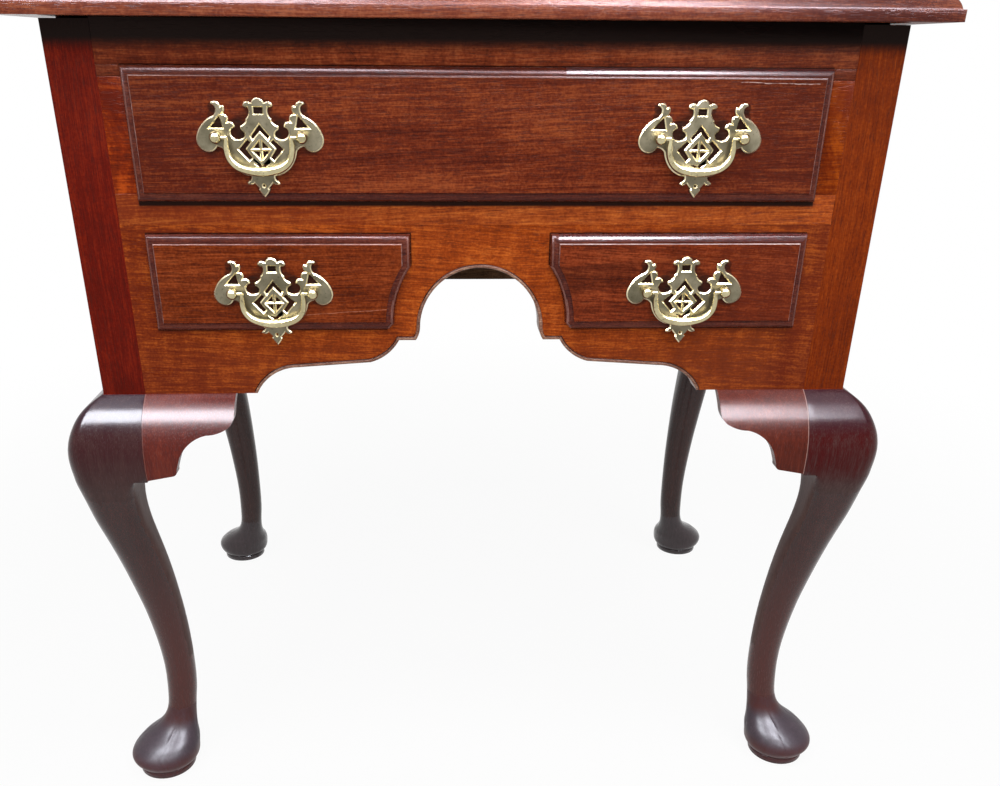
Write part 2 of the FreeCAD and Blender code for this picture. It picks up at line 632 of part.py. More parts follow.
def drawer(outline, x0, x1, base, top):
    """The five boards of a drawer in an opening from x0 to x1 and from base to top."""
    left, right = x0 + FIT, x1 - FIT
    low, high = base + SLIDE_GAP, top - FIT
    body_back = FRONT + FRONT_BODY
    end = DRAWER_BACK
    body = box(left, right, FRONT - LIP_GAP, body_back, low, high)
    front = lipped_front(outline, body)

    bottom_z = low + BOTTOM_RISE
    inner_left, inner_right = left + SIDE_THICKNESS, right - SIDE_THICKNESS
    board = box(inner_left - GROOVE + JOINT_GAP, inner_right + GROOVE - JOINT_GAP,
                body_back, end, bottom_z, bottom_z + BOTTOM_THICKNESS)
    tongue = box(inner_left, inner_right, body_back - GROOVE + JOINT_GAP, body_back,
                 bottom_z, bottom_z + BOTTOM_THICKNESS)
    front = front.cut(grown(tongue, JOINT_GAP))

    sides = []
    for a, b in ((left, inner_left), (inner_right, right)):
        joint = tails(a, b, body_back, low, high - SIDE_DROP)
        plank = box(a, b, body_back, end, low, high - SIDE_DROP)
        front = front.cut(joint)
        sides.append(joined([plank] + joint).cut(grown(board, JOINT_GAP)))
    back = box(inner_left, inner_right, end - BACK_BOARD_THICKNESS, end,
               bottom_z + BOTTOM_THICKNESS + JOINT_GAP, high - BACK_DROP)
    return {"front": front, "left_side": sides[0], "right_side": sides[1],
            "back": back, "bottom": joined([board, tongue])}


# ---------------------------------------------------------------- handles
def polygon_prism(points):
    return prism(closed([xz(p, PLATE_FACE - PLATE_THICKNESS) for p in points]),
                 V(0, 3 * PLATE_THICKNESS, 0))


def back_plate():
    """Pierced back plate, its posts' line at z = 0 and its middle at x = 0."""
    half = arc_run(xz(PLATE_TOP, PLATE_FACE), PLATE_ARCS, lambda p: xz(p, PLATE_FACE))
    outline = Part.Wire(Part.__sortEdges__(half + [mirrored(edge) for edge in half]))
    plate = prism(outline, V(0, PLATE_THICKNESS, 0))
    crossing = []
    for points in (SLOT_OPENING, CHEVRON_OPENING, FOOT_OPENING):
        crossing.append(polygon_prism(points))
    paired = [polygon_prism(points) for points in
              (WING_OPENING, SIDE_OPENING, UPPER_DIAMOND, LOWER_DIAMOND)]
    cutters = crossing + paired
    cutters += [mirrored(cutter) for cutter in cutters]
    eye = Part.makeCylinder(EYE_RADIUS, 3 * PLATE_THICKNESS,
                            xz((0, EYE_HEIGHT), PLATE_FACE - PLATE_THICKNESS), V(0, 1, 0))
    cutters.append(eye)
    for side in (-1, 1):
        cutters.append(Part.makeCylinder(
            SHANK_RADIUS + SHANK_PLAY, 3 * PLATE_THICKNESS,
            xz((side * POST_SPACING / 2, 0), PLATE_FACE - PLATE_THICKNESS), V(0, 1, 0)))
    return plate.cut(cutters)


def handle_post():
    """Right-hand post: ball, neck, collar and shank, bored for the bail's pin."""
    x = POST_SPACING / 2
    ball_centre = V(x, PIN_Y, 0)
    back = V(0, 1, 0)
    shank_end = FRONT + FRONT_BODY + SHANK_END
    ball = Part.makeSphere(BALL_RADIUS, ball_centre)
    neck = Part.makeCylinder(NECK_RADIUS, PLATE_FACE - PIN_Y, ball_centre, back)
    collar = Part.makeCylinder(COLLAR_RADIUS, COLLAR_THICKNESS,
                               V(x, PLATE_FACE - COLLAR_THICKNESS, 0), back)
    shank = Part.makeCylinder(SHANK_RADIUS, shank_end - PIN_Y, ball_centre, back)
    bore = Part.makeCylinder(PIN_RADIUS + PIN_PLAY, BALL_RADIUS + PIN_END + PIN_END_PLAY,
                             V(x + PIN_END + PIN_END_PLAY, PIN_Y, 0), V(-1, 0, 0))
    return joined([ball, neck, collar, shank]).cut(bore)


def handle_nut():
    x = POST_SPACING / 2
    base = V(x, FRONT + FRONT_BODY, 0)
    nut = Part.makeCylinder(NUT_RADIUS, NUT_THICKNESS, base, V(0, 1, 0))
    return nut.cut(Part.makeCylinder(SHANK_RADIUS + NUT_PLAY, NUT_THICKNESS, base, V(0, 1, 0)))


def bail():
    """Swan bail that hangs between the posts, thin at its ends and thick in the middle."""
    curve = Part.BSplineCurve()
    points = [xz(p, PIN_Y) for p in BAIL_PATH]
    curve.interpolate(points, InitialTangent=V(0, 0, -1), FinalTangent=V(-1, 0, 0))
    sections = []
    steps = 2 * (len(BAIL_PATH) - 1)
    for i in range(steps + 1):
        share = i / steps
        at = curve.FirstParameter + share * (curve.LastParameter - curve.FirstParameter)
        radius = BAIL_THIN + (BAIL_THICK - BAIL_THIN) * math.sin(share * math.pi / 2)
        circle = Part.Circle(curve.value(at), V(*curve.tangent(at)[0]), radius)
        sections.append(Part.Wire([circle.toShape()]))
    arm = Part.makeLoft(sections, True)
    elbow = Part.makeSphere(BAIL_THIN, points[0])
    pin = Part.makeCylinder(PIN_RADIUS, POST_SPACING / 2 + PIN_END - BAIL_HALF,
                            points[0], V(1, 0, 0))
    half = arm.fuse([elbow, pin])
    return joined([half, mirrored(half)])


def placed(shape, x, z):
    copy = shape.copy()
    copy.translate(V(x, 0, z))
    return copy


# ---------------------------------------------------------------- assembly
def case_nodes():
    nodes = {"top_board": top_board()}
    legs = {"front_left_leg": leg(), "back_left_leg": front_to_back(leg())}

    panel, panel_tongues = side_panel()
    back, back_tongues = back_board()
    top_rail, top_tenons = rail(STRIP_TOP, TOP_RAIL_HEIGHT, FRAME_THICKNESS, TENON_SHOULDER)
    mid_rail, mid_tenons = rail(APRON_TOP, MID_RAIL_HEIGHT, MID_RAIL_DEPTH, TENON_SHOULDER)
    apron, apron_tenons, bead = apron_parts()
    housed = panel_tongues + back_tongues + top_tenons + mid_tenons + apron_tenons
    sockets = [grown(piece, JOINT_GAP) for piece in housed]

    for name, shape in legs.items():
        shape = shape.cut(sockets)
        nodes[name] = shape
        nodes[name.replace("left", "right")] = mirrored(shape)
    nodes["left_side_panel"] = joined([panel] + panel_tongues)
    nodes["right_side_panel"] = mirrored(nodes["left_side_panel"])
    nodes["back_board"] = joined([back] + back_tongues)
    nodes["top_rail"] = joined([top_rail] + top_tenons)
    nodes["top_rail_strip"] = box(-POST_INNER, POST_INNER, FRONT, FRAME_BACK,
                                  TOP_OPENING_TOP, STRIP_TOP)
    nodes["mid_rail"] = joined([mid_rail] + mid_tenons)
    nodes["apron_board"] = joined([apron] + apron_tenons)
    nodes["apron_bead"] = bead
    stile = box(-POST_INNER, -TOP_OPENING_HALF, FRONT, FRAME_BACK,
                TOP_OPENING_BASE, TOP_OPENING_TOP)
    nodes["left_inner_stile"] = stile
    nodes["right_inner_stile"] = mirrored(stile)

    brackets = {"front_left_bracket": bracket(),
                "left_front_side_bracket": side_bracket(),
                "left_back_side_bracket": front_to_back(side_bracket())}
    for name, shape in brackets.items():
        nodes[name] = shape
        nodes[name.replace("left", "right")] = mirrored(shape)

    inside = inside_pieces()
    for name in ("upper_runner", "lower_runners", "partition"):
        nodes["left_" + name] = Part.makeCompound(inside[name])
        nodes["right_" + name] = Part.makeCompound([mirrored(s) for s in inside[name]])
    for name, group in (("drawer_guides", "guides"), ("drawer_kickers", "kicker"),
                        ("top_glue_blocks", "glue_blocks")):
        nodes[name] = Part.makeCompound(
            inside[group] + [mirrored(shape) for shape in inside[group]])
    return nodes


def drawer_nodes():
    top = drawer(top_lip_outline(), -TOP_OPENING_HALF, TOP_OPENING_HALF,
                 TOP_OPENING_BASE, TOP_OPENING_TOP)
    right = drawer(small_lip_outline(), SMALL_OPENING_INNER, SMALL_OPENING_OUTER,
                   SMALL_OPENING_BASE, SMALL_OPENING_TOP)
    left = {name: mirrored(shape) for name, shape in right.items()}
    left["left_side"], left["right_side"] = left["right_side"], left["left_side"]

    top_z = (TOP_OPENING_BASE - TOP_LIP_DROP + TOP_OPENING_TOP + LIP_OVERLAP) / 2
    small_z = (SMALL_OPENING_BASE + SMALL_OPENING_TOP) / 2
    top_handles = {"top_left": -HANDLE_X, "top_right": HANDLE_X}
    boards = {"top": (top, top_handles, top_z - TOP_HANDLE_DROP),
              "left": (left, {"left": -HANDLE_X}, small_z - SMALL_HANDLE_DROP),
              "right": (right, {"right": HANDLE_X}, small_z - SMALL_HANDLE_DROP)}

    plate, swing = back_plate(), bail()
    posts = [handle_post(), mirrored(handle_post())]
    nuts = [handle_nut(), mirrored(handle_nut())]
    nodes = {}
    for drawer_name, (pieces, handles, z) in boards.items():
        holes = []
        for handle, x in handles.items():
            nodes[handle + "_handle_plate"] = placed(plate, x, z)
            nodes[handle + "_bail"] = placed(swing, x, z)
            for side in (-1, 1):
                holes.append(Part.makeCylinder(
                    SHANK_RADIUS + SHANK_PLAY, FIELD + FRONT_BODY,
                    V(x + side * POST_SPACING / 2, FRONT - FIELD, z), V(0, 1, 0)))
        places = handles.values()
        nodes[drawer_name + "_handle_posts"] = Part.makeCompound(
            [placed(post, x, z) for x in places for post in posts])
        nodes[drawer_name + "_handle_nuts"] = Part.makeCompound(
            [placed(nut, x, z) for x in places for nut in nuts])
        for piece, shape in pieces.items():
            shape = shape.cut(holes) if piece == "front" else shape
            nodes["%s_drawer_%s" % (drawer_name, piece)] = shape
    return nodes


def main():
    os.makedirs("parts", exist_ok=True)
    nodes = case_nodes()
    nodes.update(drawer_nodes())
    for name, shape in sorted(nodes.items()):
        shape.exportStep("parts/%s.step" % name)
        print("%-28s solids %d valid %s volume %.0f" % (
            name, len(shape.Solids), shape.isValid(), shape.Volume))
    print(len(nodes), "nodes")


main()
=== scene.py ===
import math

import bmesh
import bpy
from mathutils import Matrix, Vector


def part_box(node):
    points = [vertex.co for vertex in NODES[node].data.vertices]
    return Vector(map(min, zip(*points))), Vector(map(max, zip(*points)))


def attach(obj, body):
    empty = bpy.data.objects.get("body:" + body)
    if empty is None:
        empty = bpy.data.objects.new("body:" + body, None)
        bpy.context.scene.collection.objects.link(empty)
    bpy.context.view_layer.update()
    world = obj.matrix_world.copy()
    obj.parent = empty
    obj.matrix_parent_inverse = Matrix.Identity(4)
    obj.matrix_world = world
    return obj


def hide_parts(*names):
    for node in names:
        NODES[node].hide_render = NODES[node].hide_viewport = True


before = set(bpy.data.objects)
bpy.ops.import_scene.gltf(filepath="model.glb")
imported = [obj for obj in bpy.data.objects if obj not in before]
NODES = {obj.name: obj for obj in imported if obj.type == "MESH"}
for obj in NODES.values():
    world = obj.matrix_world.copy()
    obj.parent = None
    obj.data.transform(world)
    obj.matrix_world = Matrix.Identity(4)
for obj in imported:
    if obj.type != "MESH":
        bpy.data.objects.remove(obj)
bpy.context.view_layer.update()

# The looks of a small dressing table: camera, light, procedural woods and brass, and the
# pieces whose finer shape stands for a plain solid. Metres, in the frame of the CAD model,
# where x runs to the right, y to the back and z up from the floor.

X, Y, Z = range(3)

# The photograph's camera
IMAGE = (1000, 786)                     # pixels
FOCAL = 938.63                          # pixels
CENTRE = (473.40, 505.45)               # pixel on the lens axis
CAMERA_AT = (-0.038364, -0.990540, 0.663340)
PITCH, YAW, ROLL = (math.radians(a) for a in (26.0135, 2.5586, 0.4182))
SENSOR = 36.0                           # millimetres

# The stage: what the white world and floor give to surfaces, and how the floor fades
WHITE = (1.0, 1.0, 1.0, 1.0)
WORLD_FILL = 0.34
FLOOR_HALF, FLOOR_DROP = 6.0, 0.0004
FLOOR_GREYS = ((0.3, (0.60, 0.60, 0.60, 1.0)), (0.7, (0.64, 0.64, 0.64, 1.0)))
FLOOR_GRAIN = 90.0
FADE_FROM, FADE_TO, NEAR_WHITE = 0.6, 1.5, 0.94

# Soft boxes: name, place, aim, size and radiance. Lights show colours, gleams make highlights.
LIGHTS = (
    ("front_light", (0.0, -1.95, 1.95), (0.0, -0.2, 0.5), (3.0, 1.6), 2.5),
    ("left_light", (-0.62, -0.66, 2.35), (-0.62, -0.40, 0.4), (0.80, 0.66), 10.0),
    ("right_light", (0.72, -0.66, 2.35), (0.72, -0.40, 0.4), (1.0, 0.66), 10.0))
GLEAMS = (
    ("left_gleam", (-0.93, -0.945, 1.778), (-0.93, -0.056, 1.320), (1.14, 0.92), 57.0),
    ("right_gleam", (0.53, -0.975, 1.72), (0.53, -0.086, 1.262), (0.66, 1.05), 66.0),
    ("far_gleam", (1.18, -0.975, 1.72), (1.18, -0.086, 1.262), (0.64, 1.05), 9.0),
    ("ceiling_gleam", (0.0, -0.40, 2.7), (0.0, -0.40, 0.0), (3.0, 1.0), 4.0),
    ("middle_gleam", (-0.08, -1.18, 1.48), (-0.08, -0.29, 1.02), (0.54, 0.5), 20.0))
COOL = (0.93, 0.97, 1.06)

# Places on the table, from the frame
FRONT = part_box("apron_board")[0].y                  # the case's face
FIELD_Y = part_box("top_drawer_front")[0].y           # face of a drawer's raised field
CASE_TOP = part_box("top_rail")[1].z
APRON_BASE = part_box("apron_board")[0].z
JOINT_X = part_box("front_right_bracket")[1].x        # joint between a bracket and its leg

# Patterns of the grain: waves a metre along and across it, the noise's detail and roughness
FIBRES = (55.0, 1100.0, 3.0, 0.6)
STREAKS = (9.0, 380.0, 3.0, 0.6)
BANDS = (2.4, 80.0, 3.0, 0.55)
RIBBONS = (95.0, 26.0, 3.0, 0.55)
PATCHES = (7.0, 18.0, 2.0, 0.5)
PORES = (120.0, 1500.0, 1.0, 0.5)
SPECKS = (520.0, 2.0, 0.6)              # these have no direction
BENDS = (2.5, 11.0)
SEED_STEPS = (1.7, 0.9, 2.3)            # how far a seed moves the grain in x, y and z
FIBRE, BAND, BLOTCH = 0.34, 0.14, 0.18  # shares of the fibres, bands and patches in each wood
SPREAD = 5.2                            # from the noises' narrow range to the whole ramp
TONE_PLACES = (0.05, 0.50, 0.95)        # where a wood's dark, middle and light tone lie on it
LEAN = (0.9, 0.2, 0.45, 1.0)            # a tint goes from 0.45 in light grain to 1 in dark
PORE_EDGE, PORE_TONE = (0.56, 0.68), 0.55
ROUGH_PATCH, ROUGH_PORE = 0.16, 0.12    # how much the patches and pores roughen the polish
PORE_DEPTH, PATCH_RISE, RELIEF = 0.8, 1.2, 0.0002
SKIN = 0.0006                           # marks, painted lip shadows, grime and painted shade lie within this of a front face
WANDER, MARK_END = 0.0015, 0.002        # how far a scratch strays, and how it fades out
STRAYS, BREAKS = 60.0, 240.0            # how often a scratch strays and breaks, a metre
BREAK_EDGE, MARK_CORE = (0.36, 0.56), 0.3    # its gaps' noise, and the share of its full core
# Painted shade colours: the shade under the top, the shadow round the lips, and grime with shade
# round the plates
SHADOW, LIP_SHADOW_TONE, GRIME_AND_SHADE = (12, 10, 10), (10, 5, 4), (22, 12, 8)
LIP_SHADOW_STRENGTH = 0.97
RED_SHEEN, PLAIN = (1.0, 0.6, 0.5), (1.0, 1.0, 1.0)

# Brass: clouds of wear and specks of dirt, as waves a metre, detail and roughness
WEAR, DIRT = (60.0, 4.0, 0.6), (420.0, 3.0, 0.6)
WEAR_PLACES, DIRT_EDGE, DIRT_STRENGTH = (0.30, 0.70), (0.56, 0.74), 0.6
ROUGH_WEAR, DIRT_RISE, BRASS_BUMP, BRASS_RELIEF = 0.25, 0.5, 0.35, 0.0003

# Finishes of the faces of a drawer's front and of a leg, in the order of their materials. A front's
# arris and crown finishes are painted highlights; a leg's inner and foot finishes hold painted
# sheen.
FIELD, LIP, LINING, ARRIS_HIGHLIGHT, CROWN, POLISHED_LIP, BRIGHT_ARRIS_HIGHLIGHT = range(7)
POST, SHANK, KNEE, FOOT, INNER = range(5)

WELD = 0.00001                          # corners nearer than this are joined
NEAR = 0.0001                           # a face this near a plane lies in it
ARRIS = 0.0007                          # the eased edge of a drawer's field
SHORT = 0.004                           # its edges shorter than this stay sharp
POLISHED_FROM = 0.062                   # right of this the top lips are glossier, and their field's arris has a brighter painted highlight
CROWN_DEPTH = 0.003                     # the moulding's crown stands this far off the case
KNEE_BASE, FOOT_TOP = 0.31, 0.062       # heights of a leg's finishes
INNER_BASE = 0.12                       # above this the inner side of a leg is duller, with paler tones that are a painted sheen
POST_FACE = 0.001                       # a post's flat faces are larger, in square metres
BEAD_ROUND, CHAMFER = 0.0013, 0.0009    # edges of the apron's bead and of the plates
JOINT_HALF = 0.0005                     # half the width of the pale line at the joint beside a leg
JOINT_TOP, JOINT_LOW = 0.400, 0.300     # it shows between these heights
MITRE = 0.3                             # limits how far a mitre reaches at a sharp corner
FLAT = math.radians(0.3)                # faces that meet at less are made one
CORNER, BENT = 0.5, 0.01                # edges bent by more are an arris, or a post's corner

# How much of a face's normal points one way, for a face that looks straight out of the
# front, inwards from a leg, partly one way, hardly one way, or sideways on a lip's crown
OUTWARD, INWARD, PARTLY, HARDLY = 0.999, 0.86, 0.3, 0.1
CROWN_SLOPES = (0.50, 0.80)
BEAD_TOP = 0.25

SHADE_FULL, SHADE_END = 0.0125, 0.0245  # the top's shade, below the top of the case
UNDER_TOP = (Z, CASE_TOP - SHADE_FULL, CASE_TOP - SHADE_END, 1.0)
LIP_EDGE = 0.0007                       # how far the painted shadow round a lip reaches past it
TOP_DROP, SMALL_DROP = 0.0040, 0.0016   # how far it falls under the lips
TOP_SOFT, SMALL_SOFT = 0.0010, 0.0008
LIP_WAIST = 0.051                       # a small lip's straight upper part, above its base
LIP_LOWER, LIP_LOWER_INNER = 0.06, 0.0765

# Grime and painted shade round a plate: ovals at a place out from its middle and up from its
# posts, with half their width and height. Those that stand out from the middle are there on both
# sides.
PLATE_TOP = 0.0269                      # above the posts
OPENINGS = ((0.0, -0.0050, 0.0185, 0.0175), (0.0, 0.0180, 0.0045, 0.0036),
            (0.0312, 0.0088, 0.0062, 0.0050))
RIMS = ((0.0, 0.0206, 0.0113, 0.0068), (0.0, 0.0120, 0.0090, 0.0085),
        (0.0, -0.0030, 0.0256, 0.0234), (0.0, -0.0300, 0.0116, 0.0050),
        (0.0, -0.0350, 0.0056, 0.0072), (0.0372, -0.0012, 0.0098, 0.0120),
        (0.0318, 0.0122, 0.0060, 0.0090), (0.0322, 0.0205, 0.0048, 0.0044),
        (0.0168, 0.0060, 0.0078, 0.0068))
OVALS = ((OPENINGS, 0.85, 0.74), (RIMS, 0.6, 0.82))    # with strength and full share
OVAL_EDGE = 1.15                        # where an oval ends, in squared half widths
HANDLES = (("top_left", "top_drawer"), ("top_right", "top_drawer"), ("left", "left_drawer"),
           ("right", "right_drawer"))


def linear(r, g, b):
    """A colour written 0 to 255 as linear RGBA."""
    return tuple(((c / 255 + 0.055) / 1.055) ** 2.4 if c > 10 else c / 255 / 12.92
                 for c in (r, g, b)) + (1.0,)


class Graph:
    """Nodes of one material or world."""

    def __init__(self, tree):
        self.tree = tree
        tree.nodes.clear()

    def add(self, kind, inputs=None, **settings):
        node = self.tree.nodes.new("ShaderNode" + kind)
        for key, value in settings.items():
            setattr(node, key, value)
        for key, value in (inputs or {}).items():
            self.put(node.inputs[key], value)
        return node

    def put(self, socket, value):
        if isinstance(value, bpy.types.NodeSocket):
            self.tree.links.new(value, socket)
        else:
            socket.default_value = value

    def math(self, operation, *values):
        node = self.add("Math", operation=operation)
        for i, value in enumerate(values):
            self.put(node.inputs[i], value)
        return node.outputs[0]

    def times(self, product, *factors):
        for factor in factors:
            product = self.math("MULTIPLY", product, factor)
        return product

    def vector(self, operation, *values):
        node = self.add("VectorMath", operation=operation)
        for i, value in enumerate(values):
            self.put(node.inputs[3 if operation == "SCALE" and i == 1 else i], value)
        return node.outputs[0]

    def span(self, value, low, high, to_low=0.0, to_high=1.0):
        """Value from low..high to to_low..to_high, eased and held at the ends."""
        node = self.add("MapRange", {"Value": value, "From Min": low, "From Max": high,
                                     "To Min": to_low, "To Max": to_high},
                        interpolation_type="SMOOTHSTEP")
        return node.outputs[0]

    def noise(self, vector, scale, detail=3.0, rough=0.55):
        node = self.add("TexNoise", {"Vector": vector, "Scale": scale, "Detail": detail,
                                     "Roughness": rough})
        return node.outputs[0]

    def stretch(self, vector, axis, along, across):
        scale = [across] * 3
        scale[axis] = along
        return self.add("Mapping", {"Vector": vector, "Scale": scale}).outputs[0]

    def grain(self, vector, axis, pattern):
        along, across, detail, rough = pattern
        return self.noise(self.stretch(vector, axis, along, across), 1.0, detail, rough)

    def mix(self, share, a, b):
        node = self.add("Mix", data_type="RGBA")
        for index, value in ((0, share), (6, a), (7, b)):
            self.put(node.inputs[index], value)
        return node.outputs[2]

    def ramp(self, value, stops):
        node = self.add("ValToRGB", {"Fac": value})
        line = node.color_ramp.elements
        while len(line) < len(stops):
            line.new(0.5)
        for element, (place, colour) in zip(line, stops):
            element.position, element.color = place, colour
        return node.outputs[0]

    def surface(self, inputs, height, bump, depth):
        """The material's shader with these inputs, over a bump of this height."""
        normal = self.add("Bump", {"Height": height, "Strength": bump, "Distance": depth})
        shader = self.add("BsdfPrincipled", {**inputs, "Normal": normal.outputs[0]})
        self.add("OutputMaterial", {"Surface": shader.outputs[0]})


def new_material(name):
    """A material and the graph of its nodes."""
    material = bpy.data.materials.new(name)
    material.use_nodes = True
    return material, Graph(material.node_tree)


# ------------------------------------------------------------------ camera, stage and light
def make_camera():
    forward = Vector((math.sin(YAW) * math.cos(PITCH), math.cos(YAW) * math.cos(PITCH),
                      -math.sin(PITCH)))
    right = Vector((math.cos(YAW), -math.sin(YAW), 0))
    up = right.cross(forward)
    right, up = (math.cos(ROLL) * right + math.sin(ROLL) * up,
                 math.cos(ROLL) * up - math.sin(ROLL) * right)
    data = bpy.data.cameras.new("camera")
    data.sensor_width = SENSOR
    data.lens = FOCAL * SENSOR / IMAGE[0]
    data.shift_x = (IMAGE[0] / 2 - CENTRE[0]) / IMAGE[0]
    data.shift_y = (CENTRE[1] - IMAGE[1] / 2) / IMAGE[0]
    camera = bpy.data.objects.new("camera", data)
    turn = Matrix((right, up, -forward)).transposed().to_4x4()
    camera.matrix_world = Matrix.Translation(CAMERA_AT) @ turn
    bpy.context.scene.collection.objects.link(camera)
    bpy.context.scene.camera = camera


def make_lamp(name, at, aim, size, radiance, gleam):
    """A soft box. One that gleams makes highlights on polish, and the others light colours."""
    data = bpy.data.lights.new(name, "AREA")
    data.shape = "RECTANGLE"
    data.size, data.size_y = size
    data.energy = radiance * math.pi * size[0] * size[1]
    lamp = bpy.data.objects.new(name, data)
    lamp.location = at
    lamp.rotation_mode = "QUATERNION"
    lamp.rotation_quaternion = (Vector(aim) - Vector(at)).to_track_quat("-Z", "Y")
    lamp.visible_diffuse, lamp.visible_glossy = not gleam, gleam
    if gleam:
        data.color = COOL
    bpy.context.scene.collection.objects.link(lamp)


def seen_directly(graph):
    """1 for what the camera sees itself, in a reflection or through glass."""
    path = graph.add("LightPath").outputs
    return graph.math("MAXIMUM", graph.math("MAXIMUM", path["Is Camera Ray"],
                                            path["Is Glossy Ray"]),
                      path["Is Transmission Ray"])


def make_world():
    world = bpy.data.worlds.new("studio")
    world.use_nodes = True
    graph = Graph(world.node_tree)
    seen = seen_directly(graph)
    fill = graph.add("Background", {"Color": WHITE, "Strength": WORLD_FILL})
    white = graph.add("Background", {"Color": WHITE, "Strength": 1.0})
    both = graph.add("MixShader", {0: seen, 1: fill.outputs[0], 2: white.outputs[0]})
    graph.add("OutputWorld", {"Surface": both.outputs[0]})
    bpy.context.scene.world = world


def make_floor():
    mesh = bpy.data.meshes.new("floor")
    bm = bmesh.new()
    bmesh.ops.create_grid(bm, x_segments=1, y_segments=1, size=FLOOR_HALF)
    bm.to_mesh(mesh)
    bm.free()
    floor = bpy.data.objects.new("floor", mesh)
    floor.location.z = -FLOOR_DROP
    bpy.context.scene.collection.objects.link(floor)
    material, graph = new_material("pale_floor")
    where = graph.add("NewGeometry").outputs["Position"]
    paint = graph.ramp(graph.noise(where, FLOOR_GRAIN), FLOOR_GREYS)
    diffuse = graph.add("BsdfDiffuse", {"Color": paint})
    white = graph.add("Emission", {"Color": WHITE, "Strength": 1.0})
    far = graph.add("VectorMath", {0: where}, operation="LENGTH").outputs["Value"]
    share = graph.times(seen_directly(graph),
                        graph.span(far, FADE_FROM, FADE_TO, NEAR_WHITE, 1.0))
    both = graph.add("MixShader", {0: share, 1: diffuse.outputs[0], 2: white.outputs[0]})
    graph.add("OutputMaterial", {"Surface": both.outputs[0]})
    mesh.materials.append(material)


# ------------------------------------------------------------------ woods
def grain_space(graph, place, axis, seed, tilt, warp):
    """The place turned and moved for one piece of wood, straight and bent along the grain."""
    moved = tuple(seed * step for step in SEED_STEPS)
    turned = graph.add("Mapping", {"Vector": place, "Location": moved,
                                   "Rotation": (0.0, tilt, 0.0)}).outputs[0]
    slow = graph.stretch(turned, axis, *BENDS)
    bend = graph.add("TexNoise", {"Vector": slow, "Scale": 1.0, "Detail": 2.0}).outputs["Color"]
    bend = graph.vector("SUBTRACT", bend, (0.5, 0.5, 0.5))
    return turned, graph.vector("ADD", turned, graph.vector("SCALE", bend, warp * 2))


def blend(graph, parts, spread):
    """The weighted mean of noises, spread about its middle."""
    total = sum(weight for part, weight in parts)
    mean = 0.0
    for part, weight in parts:
        mean = graph.math("MULTIPLY_ADD", part, weight / total, mean)
    return graph.math("MULTIPLY_ADD", graph.math("SUBTRACT", mean, 0.5), spread, 0.5)


def leaned(graph, colour, value, along, low, high, tone, strength):
    """The colour leant to a tone from one place to the other, more where the grain is dark."""
    share = graph.times(graph.span(along, low, high), strength)
    uneven = graph.times(share, graph.span(value, *LEAN))
    return graph.mix(uneven, colour, linear(*tone))


def scratch(graph, place, xyz, x0, z0, x1, z1, half, even):
    """The share of a scratch, or of an open joint where it is even, between two points."""
    wander = graph.math("MULTIPLY_ADD", graph.noise(place, STRAYS), 2 * WANDER, -WANDER)
    wander = graph.times(wander, 1 - even)
    from_x = graph.math("ADD", graph.math("SUBTRACT", xyz[X], x0), wander)
    from_z = graph.math("ADD", graph.math("SUBTRACT", xyz[Z], z0), wander)
    length = math.hypot(x1 - x0, z1 - z0)
    run, rise = (x1 - x0) / length, (z1 - z0) / length
    along = graph.math("ADD", graph.times(from_x, run), graph.times(from_z, rise))
    off = graph.math("SUBTRACT", graph.times(from_z, run), graph.times(from_x, rise))
    line = graph.span(graph.math("ABSOLUTE", off), half, half * MARK_CORE)
    broken = graph.span(graph.noise(place, BREAKS), *BREAK_EDGE, even, 1.0)
    return graph.times(line, graph.span(along, 0.0, MARK_END),
                       graph.span(along, length, length - MARK_END), broken)


def rectangle(graph, xyz, x0, x1, z0, z1, soft):
    """The share of a rectangle with soft edges, softer at its base."""
    edge = soft / 2
    return graph.times(graph.span(xyz[X], x0 - edge, x0 + edge),
                       graph.span(xyz[X], x1 + edge, x1 - edge),
                       graph.span(xyz[Z], z0 - soft, z0 + soft),
                       graph.span(xyz[Z], z1 + edge, z1 - edge))


def oval(graph, xyz, x, z, wide, high, strength, full):
    """The share of an oval that is full up to a share of its width and fades from there."""
    squares = [graph.math("POWER", graph.math("DIVIDE", graph.math("SUBTRACT", xyz[at], middle),
                                              half), 2.0)
               for at, middle, half in ((X, x, wide), (Z, z, high))]
    return graph.span(graph.math("ADD", *squares), OVAL_EDGE, full ** 2, 0.0, strength)


def marked(graph, colour, place, xyz, marks, painted_lip_shadows, grime_and_shade):
    """The colour with the marks, painted lip shadows, and grime and painted shade of a front face,
    written as for wood.
    """
    front = graph.span(xyz[Y], FRONT + 2 * SKIN, FRONT + SKIN)
    for x0, z0, x1, z1, half, tone, strength, even in marks:
        line = scratch(graph, place, xyz, x0, z0, x1, z1, half, even)
        colour = graph.mix(graph.times(line, strength, front), colour, linear(*tone))
    # painted shadows round the drawers' lips
    for sides in painted_lip_shadows:
        share = graph.times(rectangle(graph, xyz, *sides), front, LIP_SHADOW_STRENGTH)
        colour = graph.mix(share, colour, linear(*LIP_SHADOW_TONE))
    # grime and painted shade behind and round the plates
    for sizes in grime_and_shade:
        share = graph.times(oval(graph, xyz, *sizes), front)
        colour = graph.mix(share, colour, linear(*GRIME_AND_SHADE))
    return colour


